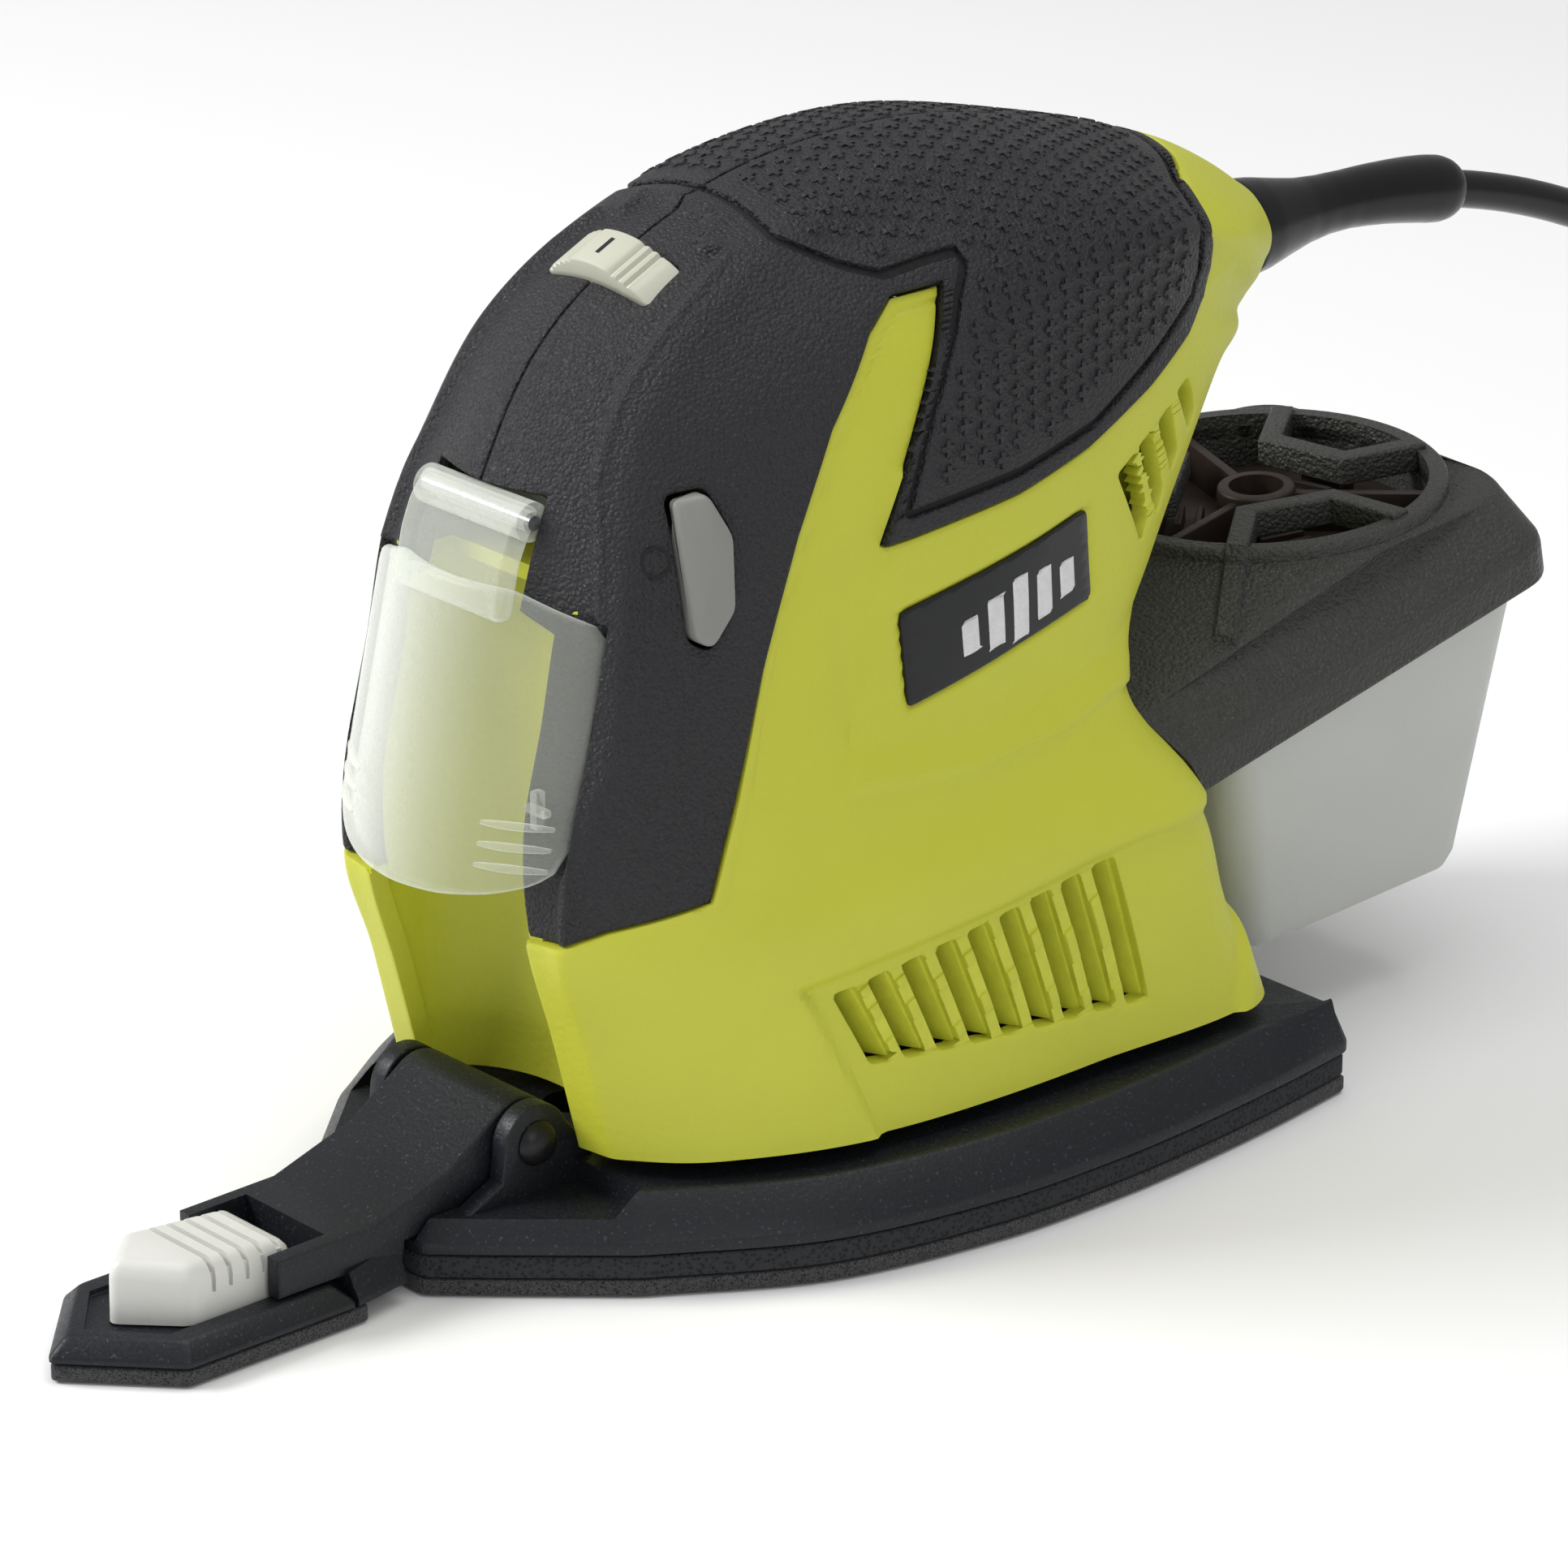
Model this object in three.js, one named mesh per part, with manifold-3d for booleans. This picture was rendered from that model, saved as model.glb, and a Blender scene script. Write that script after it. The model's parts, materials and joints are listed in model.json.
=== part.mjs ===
// Corded palm sander with a fold-up detail finger and a dust box.
//
// Millimetres, +Z up. The origin is where the motor axis meets the sole. The nose of the sanding
// pad points to -Y, the cable leaves towards +Y and +X is the tool's own left-hand side.
import * as THREE from "three";
import { mergeVertices } from "three/addons/utils/BufferGeometryUtils.js";
import Module from "manifold-3d";

const wasm = await Module();
wasm.setup();

// ---------------------------------------------------------------- driving dimensions
const GAP = 0.3; // clearance left between neighbouring pieces
const WALL = 2.6; // housing wall
const HOUSING_BOTTOM = 17;

const SHEET = { bottom: 0, top: 2.3 };
const FOAM = { bottom: 2.6, top: 6.0 };
const PLATE = { bottom: 6.3, bandTop: 8.5, top: 14.2 };

const ORBIT = 1; // eccentric offset of the pad from the motor axis, towards +Y at rest
const PIVOT = { y: -61.2, z: 18.7, radius: 5.8, pin: 2 }; // folding axis of the detail finger
const FLAP_HINGE = { y: -57, z: 110.5, radius: 3, pin: 1.1 };
const TAB_HALF = 11.4; // half-width of the flap's hinge tab
const DUST_PORT = { radius: 8.2, z: 38 };
const CAVITY = { half: 17.5, straightTo: -56, back: -44, top: 99, wall: 2.4 };
const DIAL = { y: -27.5, z: 129.5, radius: 15, width: 7.4, slope: 24.9 };
const LID = { y: 54.6, z: 48.9, slope: 12.1 };
const RIM = { y: 98.2, z: 78.2, slope: 4, radius: 29.6, open: 26.8, depth: 10.5 };

// ---------------------------------------------------------------- materials
function plastic(color, roughness) {
  return new THREE.MeshStandardMaterial({ color, roughness, metalness: 0 });
}

function metal(color, roughness) {
  return new THREE.MeshStandardMaterial({ color, roughness, metalness: 1 });
}

const LIME = plastic(0xbfc42c, 0.5);
const CHARCOAL = plastic(0x3c3c3e, 0.75);
const BLUE_BLACK = plastic(0x24272c, 0.55);
const PALE_GREY = plastic(0xc8c8c4, 0.45);
const MID_GREY = plastic(0x7e7f7a, 0.5);
const CLEAR = plastic(0xdfe6cf, 0.25);
const FROSTED = plastic(0xcdd0ca, 0.4);
const LID_BLACK = plastic(0x222222, 0.5);
const FOAM_BLACK = plastic(0x2b2c2f, 0.95);
const HOOK_BLACK = plastic(0x1b1c1f, 1);
const RUBBER = plastic(0x111112, 0.5);
const BOARD_GREEN = plastic(0x2c6b3c, 0.5);
const BROWN_BLACK = plastic(0x2a2220, 0.5);
const PAPER = plastic(0xd9d3c0, 0.95);
const CARBON = plastic(0x2a2a2c, 0.8);
const SCREW_STEEL = metal(0x8d9094, 0.35);
const STEEL = metal(0xb4b6b8, 0.3);
const LAMINATION = metal(0x6f7276, 0.5);
const COPPER = metal(0xb8703c, 0.4);
const BRASS = metal(0xc2a14e, 0.35);
const ALUMINIUM = metal(0xb9bcc0, 0.45);

// ---------------------------------------------------------------- solids and nodes
const group = new THREE.Group();

function addNode(name, geometry, material, parent = group) {
  const mesh = new THREE.Mesh(geometry, material);
  mesh.name = name;
  parent.add(mesh);
  return mesh;
}

function toSolid(geometry) {
  const bare = geometry.clone();
  bare.deleteAttribute("normal");
  bare.deleteAttribute("uv");
  const merged = mergeVertices(bare, 1e-4);
  const mesh = new wasm.Mesh({
    numProp: 3,
    vertProperties: merged.attributes.position.array,
    triVerts: new Uint32Array(merged.index.array),
  });
  return new wasm.Manifold(mesh);
}

function toGeometry(solid) {
  const mesh = solid.getMesh();
  const geometry = new THREE.BufferGeometry();
  geometry.setAttribute("position", new THREE.BufferAttribute(mesh.vertProperties, 3));
  geometry.setIndex(new THREE.BufferAttribute(mesh.triVerts, 1));
  geometry.computeVertexNormals();
  return geometry;
}

function join(first, ...others) {
  return others.reduce((sum, other) => sum.add(other), first);
}

function cut(first, ...tools) {
  return tools.reduce((rest, tool) => rest.subtract(tool), first);
}

// ---------------------------------------------------------------- basic shapes
function shapeOf(outline) {
  return new THREE.Shape(outline.map(([a, b]) => new THREE.Vector2(a, b)));
}

function extrusion(outline, depth) {
  return new THREE.ExtrudeGeometry(shapeOf(outline), { depth, bevelEnabled: false });
}

// An outline of (x, y) points raised from z = low to z = high.
function prismZ(outline, low, high) {
  return toSolid(extrusion(outline, high - low).translate(0, 0, low));
}

// An outline of (y, z) points carried from x = low to x = high.
function prismX(outline, low, high) {
  const turn = new THREE.Matrix4().set(0, 0, 1, low, 1, 0, 0, 0, 0, 1, 0, 0, 0, 0, 0, 1);
  return toSolid(extrusion(outline, high - low).applyMatrix4(turn));
}

// An outline of (x, z) points carried from y = low to y = high.
function prismY(outline, low, high) {
  const turn = new THREE.Matrix4().set(1, 0, 0, 0, 0, 0, -1, high, 0, 1, 0, 0, 0, 0, 0, 1);
  return toSolid(extrusion(outline, high - low).applyMatrix4(turn));
}

function box(x, y, z) {
  const size = [x, y, z].map(([low, high]) => high - low);
  const centre = [x, y, z].map(([low, high]) => (low + high) / 2);
  return toSolid(new THREE.BoxGeometry(...size).translate(...centre));
}

function rod(radius, low, high, segments = 16) {
  const geometry = new THREE.CylinderGeometry(radius, radius, high - low, segments);
  geometry.rotateX(Math.PI / 2);
  return geometry.translate(0, 0, (low + high) / 2);
}

function cylinderZ(radius, low, high, x = 0, y = 0, segments = 16) {
  return toSolid(rod(radius, low, high, segments).translate(x, y, 0));
}

function cylinderX(radius, low, high, y, z, segments = 16) {
  const geometry = rod(radius, low, high, segments).rotateY(Math.PI / 2);
  return toSolid(geometry.translate(0, y, z));
}

// A body of revolution about Z; the profile holds (radius, z) points, the outside going upwards.
function turned(profile, segments = 16) {
  const points = profile.map(([radius, z]) => new THREE.Vector2(radius, z));
  return new THREE.LatheGeometry(points, segments).rotateX(Math.PI / 2);
}

// A ring with a rectangular section.
function ring(inner, outer, low, high, segments = 16) {
  const profile = [
    [inner, low],
    [outer, low],
    [outer, high],
    [inner, high],
    [inner, low],
  ];
  return turned(profile, segments);
}

function ringAt(inner, outer, low, high, x, y, segments = 16) {
  return toSolid(ring(inner, outer, low, high, segments).translate(x, y, 0));
}

function arcPoints(radius, from, to, steps, x = 0, y = 0) {
  return Array.from({ length: steps + 1 }, (_, i) => {
    const angle = THREE.MathUtils.degToRad(from + ((to - from) * i) / steps);
    return [x + radius * Math.cos(angle), y + radius * Math.sin(angle)];
  });
}

function sector(inner, outer, from, to, low, high, steps = 8) {
  const outline = [
    ...arcPoints(outer, from, to, steps),
    ...arcPoints(inner, to, from, steps),
  ];
  return prismZ(outline, low, high);
}

// A closed outline moved outwards by a distance, with mitred corners. The outline runs
// counter-clockwise.
function grown(outline, distance) {
  const count = outline.length;
  return outline.map((point, i) => {
    const before = outline[(i + count - 1) % count];
    const after = outline[(i + 1) % count];
    const normals = [
      [before, point],
      [point, after],
    ].map(([a, b]) => {
      const length = Math.hypot(b[0] - a[0], b[1] - a[1]);
      return [(b[1] - a[1]) / length, (a[0] - b[0]) / length];
    });
    const sum = [normals[0][0] + normals[1][0], normals[0][1] + normals[1][1]];
    const scale = distance / (0.5 * (sum[0] ** 2 + sum[1] ** 2));
    return [point[0] + sum[0] * scale, point[1] + sum[1] * scale];
  });
}

// A closed skin through rings of equal point count. Each end is closed by a fan from the
// middle of its ring. Rings run counter-clockwise as seen from the end they are stacked towards.
function loftSolid(rings) {
  const count = rings[0].length;
  const vertices = rings.flat().map((point) => [point.x, point.y, point.z]);
  const triangles = [];
  for (let row = 0; row < rings.length - 1; row++) {
    for (let i = 0; i < count; i++) {
      const a = row * count + i;
      const b = row * count + ((i + 1) % count);
      triangles.push([a, b, b + count], [a, b + count, a + count]);
    }
  }
  [0, rings.length - 1].forEach((row) => {
    const middle = new THREE.Vector3();
    rings[row].forEach((point) => middle.addScaledVector(point, 1 / count));
    const hub = vertices.push([middle.x, middle.y, middle.z]) - 1;
    for (let i = 0; i < count; i++) {
      const a = row * count + i;
      const b = row * count + ((i + 1) % count);
      triangles.push(row ? [a, b, hub] : [b, a, hub]);
    }
  });
  const mesh = new wasm.Mesh({
    numProp: 3,
    vertProperties: new Float32Array(vertices.flat()),
    triVerts: new Uint32Array(triangles.flat()),
  });
  return new wasm.Manifold(mesh);
}

// ---------------------------------------------------------------- housing surface
// The housing is a skin through stations that fan out from the sole to the tail. Each station
// runs from a front (or top) point to a back (or under) point, both (y, z) on the middle plane.
// Between them are six side points, each as (run along the chord, half-width).
const STATIONS = [
  {
    front: [-56.5, 17],
    back: [59.9, 17],
    side: [[1.5, 20], [3.9, 26.5], [14.2, 35.8], [37.4, 44.8], [76.5, 47.3], [114.7, 43.4]],
  },
  {
    front: [-61.7, 35],
    back: [53.6, 35],
    side: [[2.1, 20], [4.5, 26.2], [15.7, 36.2], [35.7, 43.6], [79.7, 47], [112.9, 43.4]],
  },
  {
    front: [-66.5, 52],
    back: [50.5, 50],
    side: [[2.2, 20], [5.3, 26.3], [21.5, 38], [41.5, 42.5], [81.5, 45], [113.1, 42.6]],
  },
  {
    front: [-70, 68],
    back: [43.5, 62],
    side: [[6.2, 21], [11.4, 28], [25.5, 35.5], [44.5, 39.5], [79.5, 40.5], [109, 36.5]],
  },
  {
    front: [-67, 84],
    back: [43, 72],
    side: [[7.8, 22.5], [14, 29.5], [27, 34.5], [45, 37], [75, 38], [106, 32]],
  },
  {
    front: [-62.5, 101],
    back: [54, 84],
    side: [[7, 23], [14, 28], [28, 33], [47, 35.5], [80, 36.5], [112.5, 27.5]],
  },
  {
    front: [-57, 116],
    back: [65, 98],
    side: [[5, 18], [13, 25], [30, 32], [52, 35], [85, 34.5], [118, 24]],
  },
  {
    front: [-47, 131.5],
    back: [74, 107],
    side: [[4.5, 16], [12, 22.5], [30, 31], [55, 34.5], [90, 31.5], [118.5, 20]],
  },
  {
    front: [-31, 142.5],
    back: [79.5, 110],
    side: [[4.5, 15], [12, 21], [29, 30], [52, 34], [85, 29], [112.5, 16]],
  },
  {
    front: [-8, 150],
    back: [82.5, 111.5],
    side: [[4, 13.5], [11, 20], [24, 28.5], [42, 33], [70, 27], [95.5, 13]],
  },
  {
    front: [22, 151.3],
    back: [85, 112],
    side: [[3.2, 12.5], [9.5, 20], [20, 27.5], [33, 30.5], [52, 23.5], [72, 11]],
  },
  {
    front: [52, 145.2],
    back: [87, 112.3],
    side: [[2.5, 10.5], [7, 17], [14, 22.5], [23, 24.5], [35, 18.5], [46.5, 9]],
  },
  {
    front: [74, 138],
    back: [88.5, 112.8],
    side: [[1.6, 7.5], [4.5, 12], [9, 15.5], [14.5, 16.5], [21, 14], [27.5, 8]],
  },
  {
    front: [87, 130],
    back: [89.7, 113],
    side: [[0.6, 5], [2, 8.5], [5, 11], [8.3, 11.7], [12, 10], [16, 5]],
  },
];
const LAST_STATION = STATIONS.length - 1;
const LAST_RAIL = 7;

function stationRails(station) {
  const [frontY, frontZ] = station.front;
  const [backY, backZ] = station.back;
  const front = new THREE.Vector3(0, frontY, frontZ);
  const back = new THREE.Vector3(0, backY, backZ);
  const along = back.clone().sub(front).normalize();
  const side = station.side.map(([run, half]) => {
    const point = front.clone().addScaledVector(along, run);
    point.x = half;
    return point;
  });
  return [front, ...side, back];
}

const RAILS = STATIONS.map(stationRails);

function smoothPoint(p0, p1, p2, p3, f) {
  const point = new THREE.Vector3();
  point.addScaledVector(p0, -0.5 * f + f * f - 0.5 * f ** 3);
  point.addScaledVector(p1, 1 - 2.5 * f * f + 1.5 * f ** 3);
  point.addScaledVector(p2, 0.5 * f + 2 * f * f - 1.5 * f ** 3);
  point.addScaledVector(p3, -0.5 * f * f + 0.5 * f ** 3);
  return point;
}

function railPoint(rail, t) {
  const i = Math.min(Math.floor(t), LAST_STATION - 1);
  const at = (k) => RAILS[k][rail];
  const before = i > 0 ? at(i - 1) : at(0).clone().multiplyScalar(2).sub(at(1));
  const last = at(LAST_STATION);
  const beyond = last.clone().multiplyScalar(2).sub(at(LAST_STATION - 1));
  const after = i + 2 <= LAST_STATION ? at(i + 2) : beyond;
  return smoothPoint(before, at(i), at(i + 1), after, t - i);
}

// A point of the skin: t counts stations upwards, q counts rails from front to back.
function skinPoint(t, q) {
  const i = Math.min(Math.floor(q), LAST_RAIL - 1);
  const at = (k) => {
    if (k < 0) return railPoint(1, t).multiply(new THREE.Vector3(-1, 1, 1));
    if (k > LAST_RAIL) return railPoint(LAST_RAIL - 1, t).multiply(new THREE.Vector3(-1, 1, 1));
    return railPoint(k, t);
  };
  return smoothPoint(at(i - 1), at(i), at(i + 1), at(i + 2), q - i);
}

// The same point moved along the skin's outward normal.
function offsetPoint(t, q, offset) {
  const step = 0.02;
  const t0 = Math.max(t - step, 0);
  const t1 = Math.min(t + step, LAST_STATION);
  const q0 = Math.max(q - step, 0);
  const q1 = Math.min(q + step, LAST_RAIL);
  const up = skinPoint(t1, q).sub(skinPoint(t0, q));
  const around = skinPoint(t, q1).sub(skinPoint(t, q0));
  const normal = around.cross(up).normalize();
  const point = skinPoint(t, q).addScaledVector(normal, offset);
  if (q <= 0 || q >= LAST_RAIL) point.x = 0;
  return point;
}

function range(from, to, step) {
  const count = Math.round((to - from) / step);
  return Array.from({ length: count + 1 }, (_, i) => from + i * step);
}

const STATION_STEP = 0.65;
// Where the rails are sampled: closer together round the front and rear corners.
const OUTER_RAILS = [0, 0.6, 1, 1.5, 2, 2.5, 3.2, 4, 4.8, 5.5, 6, 6.4, 7];
const INNER_RAILS = [0, 1, 2, 3, 4, 5, 5.7, 6.2, 7];

// The housing's full outline grown by an offset, as one solid.
function housingSolid(offset, stations, rails, bottom) {
  const rings = stations.map((t) => {
    const half = rails.map((q) => offsetPoint(t, q, offset));
    const other = half
      .slice(1, -1)
      .reverse()
      .map((point) => new THREE.Vector3(-point.x, point.y, point.z));
    const all = [...half, ...other];
    if (t === 0) all.forEach((point) => (point.z = bottom));
    return all;
  });
  return loftSolid(rings);
}

// ---------------------------------------------------------------- regions of the housing
// The dark overmould, seen from the side: the front panel, the crown and the palm grip.
const OVERMOULD = [
  [-95, 42.5],
  [-67, 50.5],
  [-58.5, 54.6],
  [-46.3, 58.2],
  [-40.8, 71.6],
  [-34.3, 89],
  [-26.4, 106.9],
  [-19.1, 120.6],
  [-10, 132.5],
  [-4.8, 136.6],
  [3.5, 137],
  [-2.6, 122.6],
  [-6, 114.8],
  [-11.9, 102.2],
  [-6.7, 102.5],
  [13.9, 104.5],
  [29.5, 107.6],
  [44.5, 112.4],
  [55.5, 117.2],
  [60.6, 121.5],
  [61.2, 126],
  [59.2, 132],
  [62.7, 138.1],
  [71, 139.3],
  [84, 165],
  [-95, 165],
];

function cavitySolid(growth) {
  const half = CAVITY.half + growth;
  const depth = CAVITY.back - CAVITY.straightTo + growth;
  const back = Array.from({ length: 11 }, (_, i) => {
    const angle = (Math.PI * i) / 10;
    return [half * Math.cos(angle), CAVITY.straightTo + depth * Math.sin(angle)];
  });
  return prismZ([[-half, -95], [half, -95], ...back], 5, CAVITY.top + growth);
}

// Where the flap's tab sits under the crown.
function tabNotch(growth) {
  const half = TAB_HALF + 0.5 + growth;
  return box([-half, half], [-75, -52.4 + growth], [97 - growth, 115 + growth]);
}

// Outer face of the closed flap.
function flapFace(x, z) {
  return -72.9 + (z - 65.4) * 0.2336 + (x * x) / 60;
}

const FLAP_OUTLINE = [
  [0, 58],
  [9, 58.3],
  [16, 59.4],
  [21, 61.2],
  [23.6, 63.6],
  [24, 67],
  [24, 97.5],
  [12, 101.6],
  [-12, 101.6],
  [-24, 97.5],
  [-24, 67],
  [-23.6, 63.6],
  [-21, 61.2],
  [-16, 59.4],
  [-9, 58.3],
];

// A sheet that follows the flap's face, from one depth behind it to another.
function flapSheet(outline, front, back) {
  const heights = [50, 110];
  const rings = heights.map((z) => {
    const across = range(-30, 30, 5);
    const face = across.map((x) => new THREE.Vector3(x, flapFace(x, z) + front, z));
    const rear = across.reverse().map((x) => new THREE.Vector3(x, flapFace(x, z) + back, z));
    return [...face, ...rear];
  });
  return loftSolid(rings).intersect(prismY(outline, -140, 20));
}

// Louvred air outlets low on each side: nine leaning slots between two sloping lines.
function sideVents() {
  const count = 9;
  const pitch = 6.05;
  const width = 4.1;
  return Array.from({ length: count }, (_, i) => {
    const share = i / (count - 1);
    const top = [-28 + i * pitch, 40.3 + 7.6 * share];
    const bottom = [-21.8 + i * pitch, 28.2 - 3.6 * share];
    const outline = [
      bottom,
      [bottom[0] + width, bottom[1] - 0.3],
      [top[0] + width, top[1] + 0.6],
      top,
    ];
    return join(prismX(outline, 30, 60), prismX(outline, -60, -30));
  });
}

// Four narrow air inlets on each side of the neck.
const NECK_VENTS = [
  [[36.6, 101.2], [43.1, 88.9], [45.4, 92.7], [43.4, 98.7], [41.2, 103.2]],
  [[42.2, 103.9], [48.1, 91.4], [49.6, 95.2], [48, 99.6], [46, 105.4]],
  [[47.6, 106], [51.9, 97.2], [54, 99.8], [53, 102.5], [51.2, 107.8]],
  [[53.1, 109.1], [57.6, 101.3], [59, 104.6], [58, 107.4], [56.4, 110.4]],
];

function neckVents() {
  return NECK_VENTS.map((outline) =>
    join(prismX(outline, 18, 45), prismX(outline, -45, -18)),
  );
}

// Case screws, as (y, z) on the middle plane; the bosses meet there.
const CASE_SCREWS = [
  [-39, 27],
  [41.5, 56],
  [33, 118],
  [-36, 88],
  [63, 115],
  [18, 140],
];
const SCREW = { shank: 1.5, head: 3, boss: 4, headX: -14 };

function bosses() {
  return CASE_SCREWS.map(([y, z]) => cylinderX(SCREW.boss, -40, 40, y, z, 8));
}

// Screw hole, with a wider well for the head, open on the tool's right-hand side.
function screwWells() {
  return CASE_SCREWS.map(([y, z]) =>
    join(
      cylinderX(SCREW.shank + 0.4, SCREW.headX - 1, 10, y, z, 8),
      cylinderX(SCREW.head + 0.6, -60, SCREW.headX, y, z, 8),
    ),
  );
}

// ---------------------------------------------------------------- power switch outline
const SWITCH_FACE = [
  [-44.6, 95.4],
  [-42.4, 94],
  [-38.5, 98.7],
  [-37.1, 109.2],
  [-39.3, 115],
  [-43.9, 114.4],
];
const SWITCH = { nearEnd: 33.8, farEnd: -30.3, inner: 25, travel: 3.5 };
const SWITCH_BRIDGE = { y: [-43, -39], z: [104, 109] };

// ---------------------------------------------------------------- housing shells
function buildHousing() {
  const outer = housingSolid(0, range(0, LAST_STATION, STATION_STEP), OUTER_RAILS, HOUSING_BOTTOM);
  const hollowEnd = LAST_STATION - STATION_STEP; // the tail stays solid
  const hollow = housingSolid(-WALL, range(0, hollowEnd, STATION_STEP), INNER_RAILS, HOUSING_BOTTOM - 8);
  const inside = join(cavitySolid(CAVITY.wall), tabNotch(2), ...bosses());
  const skin = join(cut(outer, hollow), inside.intersect(outer));
  const openings = [
    cavitySolid(0),
    tabNotch(0),
    flapSheet(grown(FLAP_OUTLINE, 0.8), -40, 2.3),
    prismX(grown(SWITCH_FACE, 0.4), -60, 60),
    dialSlot(),
    cableHole(),
    dustPort(),
    cylinderX(FLAP_HINGE.pin + 0.2, -14.2, 14.2, FLAP_HINGE.y, FLAP_HINGE.z, 12),
    ...sideVents(),
    ...neckVents(),
    ...screwWells(),
  ];
  const shell = cut(skin, ...openings);
  const dark = prismX(grown(OVERMOULD, -GAP / 2), -60, 60);
  const light = prismX(grown(OVERMOULD, GAP / 2), -60, 60);
  const sides = {
    left: box([GAP / 2, 80], [-120, 120], [0, 180]),
    right: box([-80, -GAP / 2], [-120, 120], [0, 180]),
  };
  Object.entries(sides).forEach(([side, half]) => {
    const shellHalf = shell.intersect(half);
    addNode(`housing_${side}`, toGeometry(largest(shellHalf.subtract(light))), LIME);
    addNode(`overmould_${side}`, toGeometry(largest(shellHalf.intersect(dark))), CHARCOAL);
  });
}

// The biggest body of a cut, without the slivers that the cut may leave.
function largest(solid) {
  const bodies = solid.decompose();
  return bodies.reduce((best, body) => (body.volume() > best.volume() ? body : best));
}

function dialSlot() {
  const slot = new THREE.CylinderGeometry(DIAL.radius + 0.6, DIAL.radius + 0.6, DIAL.width + 1.2, 28);
  slot.rotateX(THREE.MathUtils.degToRad(DIAL.slope));
  return toSolid(slot.translate(0, DIAL.y, DIAL.z));
}

function cableHole() {
  const hole = new THREE.CylinderGeometry(5.2, 5.2, 30, 16);
  return toSolid(hole.translate(0, 92, 120));
}

function dustPort() {
  const { radius, z } = DUST_PORT;
  const hole = new THREE.CylinderGeometry(radius, radius, 24, 14);
  return toSolid(hole.translate(0, 57, z));
}

// ---------------------------------------------------------------- badges
const BADGE = [
  [-9.6, 78.3],
  [29.2, 84.9],
  [28.5, 98.4],
  [-9.9, 92.1],
];

function buildBadges() {
  const plate = cut(
    housingSolid(1.1, range(3.25, 7.15, STATION_STEP), OUTER_RAILS, 0),
    housingSolid(GAP, range(2.6, 7.8, STATION_STEP), OUTER_RAILS, 0),
  );
  addNode("badge_left", toGeometry(plate.intersect(prismX(BADGE, 20, 60))), RUBBER);
  addNode("badge_right", toGeometry(plate.intersect(prismX(BADGE, -60, -20))), RUBBER);
}

// ---------------------------------------------------------------- storage flap
function buildFlap() {
  const { y, z, radius } = FLAP_HINGE;
  const tab = prismX(
    [
      [-65.2, 98.8],
      [-62.2, 98.8],
      [-58.6, 106.6],
      [-57.2, 109.4],
      [-58.4, 112.6],
      [-60.6, 109.6],
    ],
    -TAB_HALF,
    TAB_HALF,
  );
  const barrel = cylinderX(radius, -TAB_HALF, TAB_HALF, y, z, 16);
  const bore = cylinderX(FLAP_HINGE.pin + 0.3, -20, 20, y, z, 12);
  const ribs = [63.5, 66.5, 69.5].flatMap((height) =>
    [-18.2, 18.2].map((middle) => {
      const span = [middle - 4.6, middle + 4.6];
      const outline = [
        [span[0], height - 0.5],
        [span[1], height - 0.5],
        [span[1], height + 0.5],
        [span[0], height + 0.5],
      ];
      return flapSheet(outline, -0.7, 1);
    }),
  );
  const flap = cut(join(flapSheet(FLAP_OUTLINE, 0, 2), tab, barrel, ...ribs), bore);
  addNode("storage_flap", toGeometry(flap), CLEAR);
  addNode("flap_pin", toGeometry(cylinderX(FLAP_HINGE.pin, -13.8, 13.8, y, z, 12)), STEEL);
}

// ---------------------------------------------------------------- speed dial and its board
function buildDial() {
  const half = DIAL.width / 2;
  const ribs = 24;
  const outline = Array.from({ length: ribs * 2 }, (_, i) => {
    const radius = DIAL.radius - (i % 2 ? 0.5 : 0);
    const angle = (Math.PI * i) / ribs;
    return [radius * Math.cos(angle), radius * Math.sin(angle)];
  });
  const wheel = cut(prismZ(outline, -half, half), cylinderZ(2.3, -10, 10, 0, 0, 12));
  const dial = addNode("speed_dial", toGeometry(wheel), PALE_GREY);
  dial.rotation.x = THREE.MathUtils.degToRad(DIAL.slope - 90);
  dial.position.set(0, DIAL.y, DIAL.z);

  const seat = new THREE.Group();
  seat.rotation.copy(dial.rotation);
  seat.position.copy(dial.position);
  group.add(seat);
  const board = box([-9, 9], [-4, 14], [-8.4, -6.8]);
  const body = box([-6, 6], [-4, 6], [-6.8, -5.2]);
  const spindle = toSolid(rod(2, -5.3, 3, 12));
  addNode("speed_control", toGeometry(join(board, body, spindle)), BOARD_GREEN, seat);
}

// ---------------------------------------------------------------- power switch
function buildSwitch() {
  const near = prismX(SWITCH_FACE, SWITCH.inner, SWITCH.nearEnd);
  const far = prismX(SWITCH_FACE, SWITCH.farEnd, SWITCH.travel - SWITCH.inner);
  const bridge = box([SWITCH.farEnd + 2, SWITCH.nearEnd - 2], SWITCH_BRIDGE.y, SWITCH_BRIDGE.z);
  addNode("switch_bar", toGeometry(join(near, far, bridge)), MID_GREY);
  const module = box([-9, 9], [-38.8, -28], [101, 113]);
  addNode("switch_module", toGeometry(module), CARBON);
}

// ---------------------------------------------------------------- motor, fixed parts
const STATOR = { low: 54, high: 84, outer: 25, bore: 13.6 };

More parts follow.
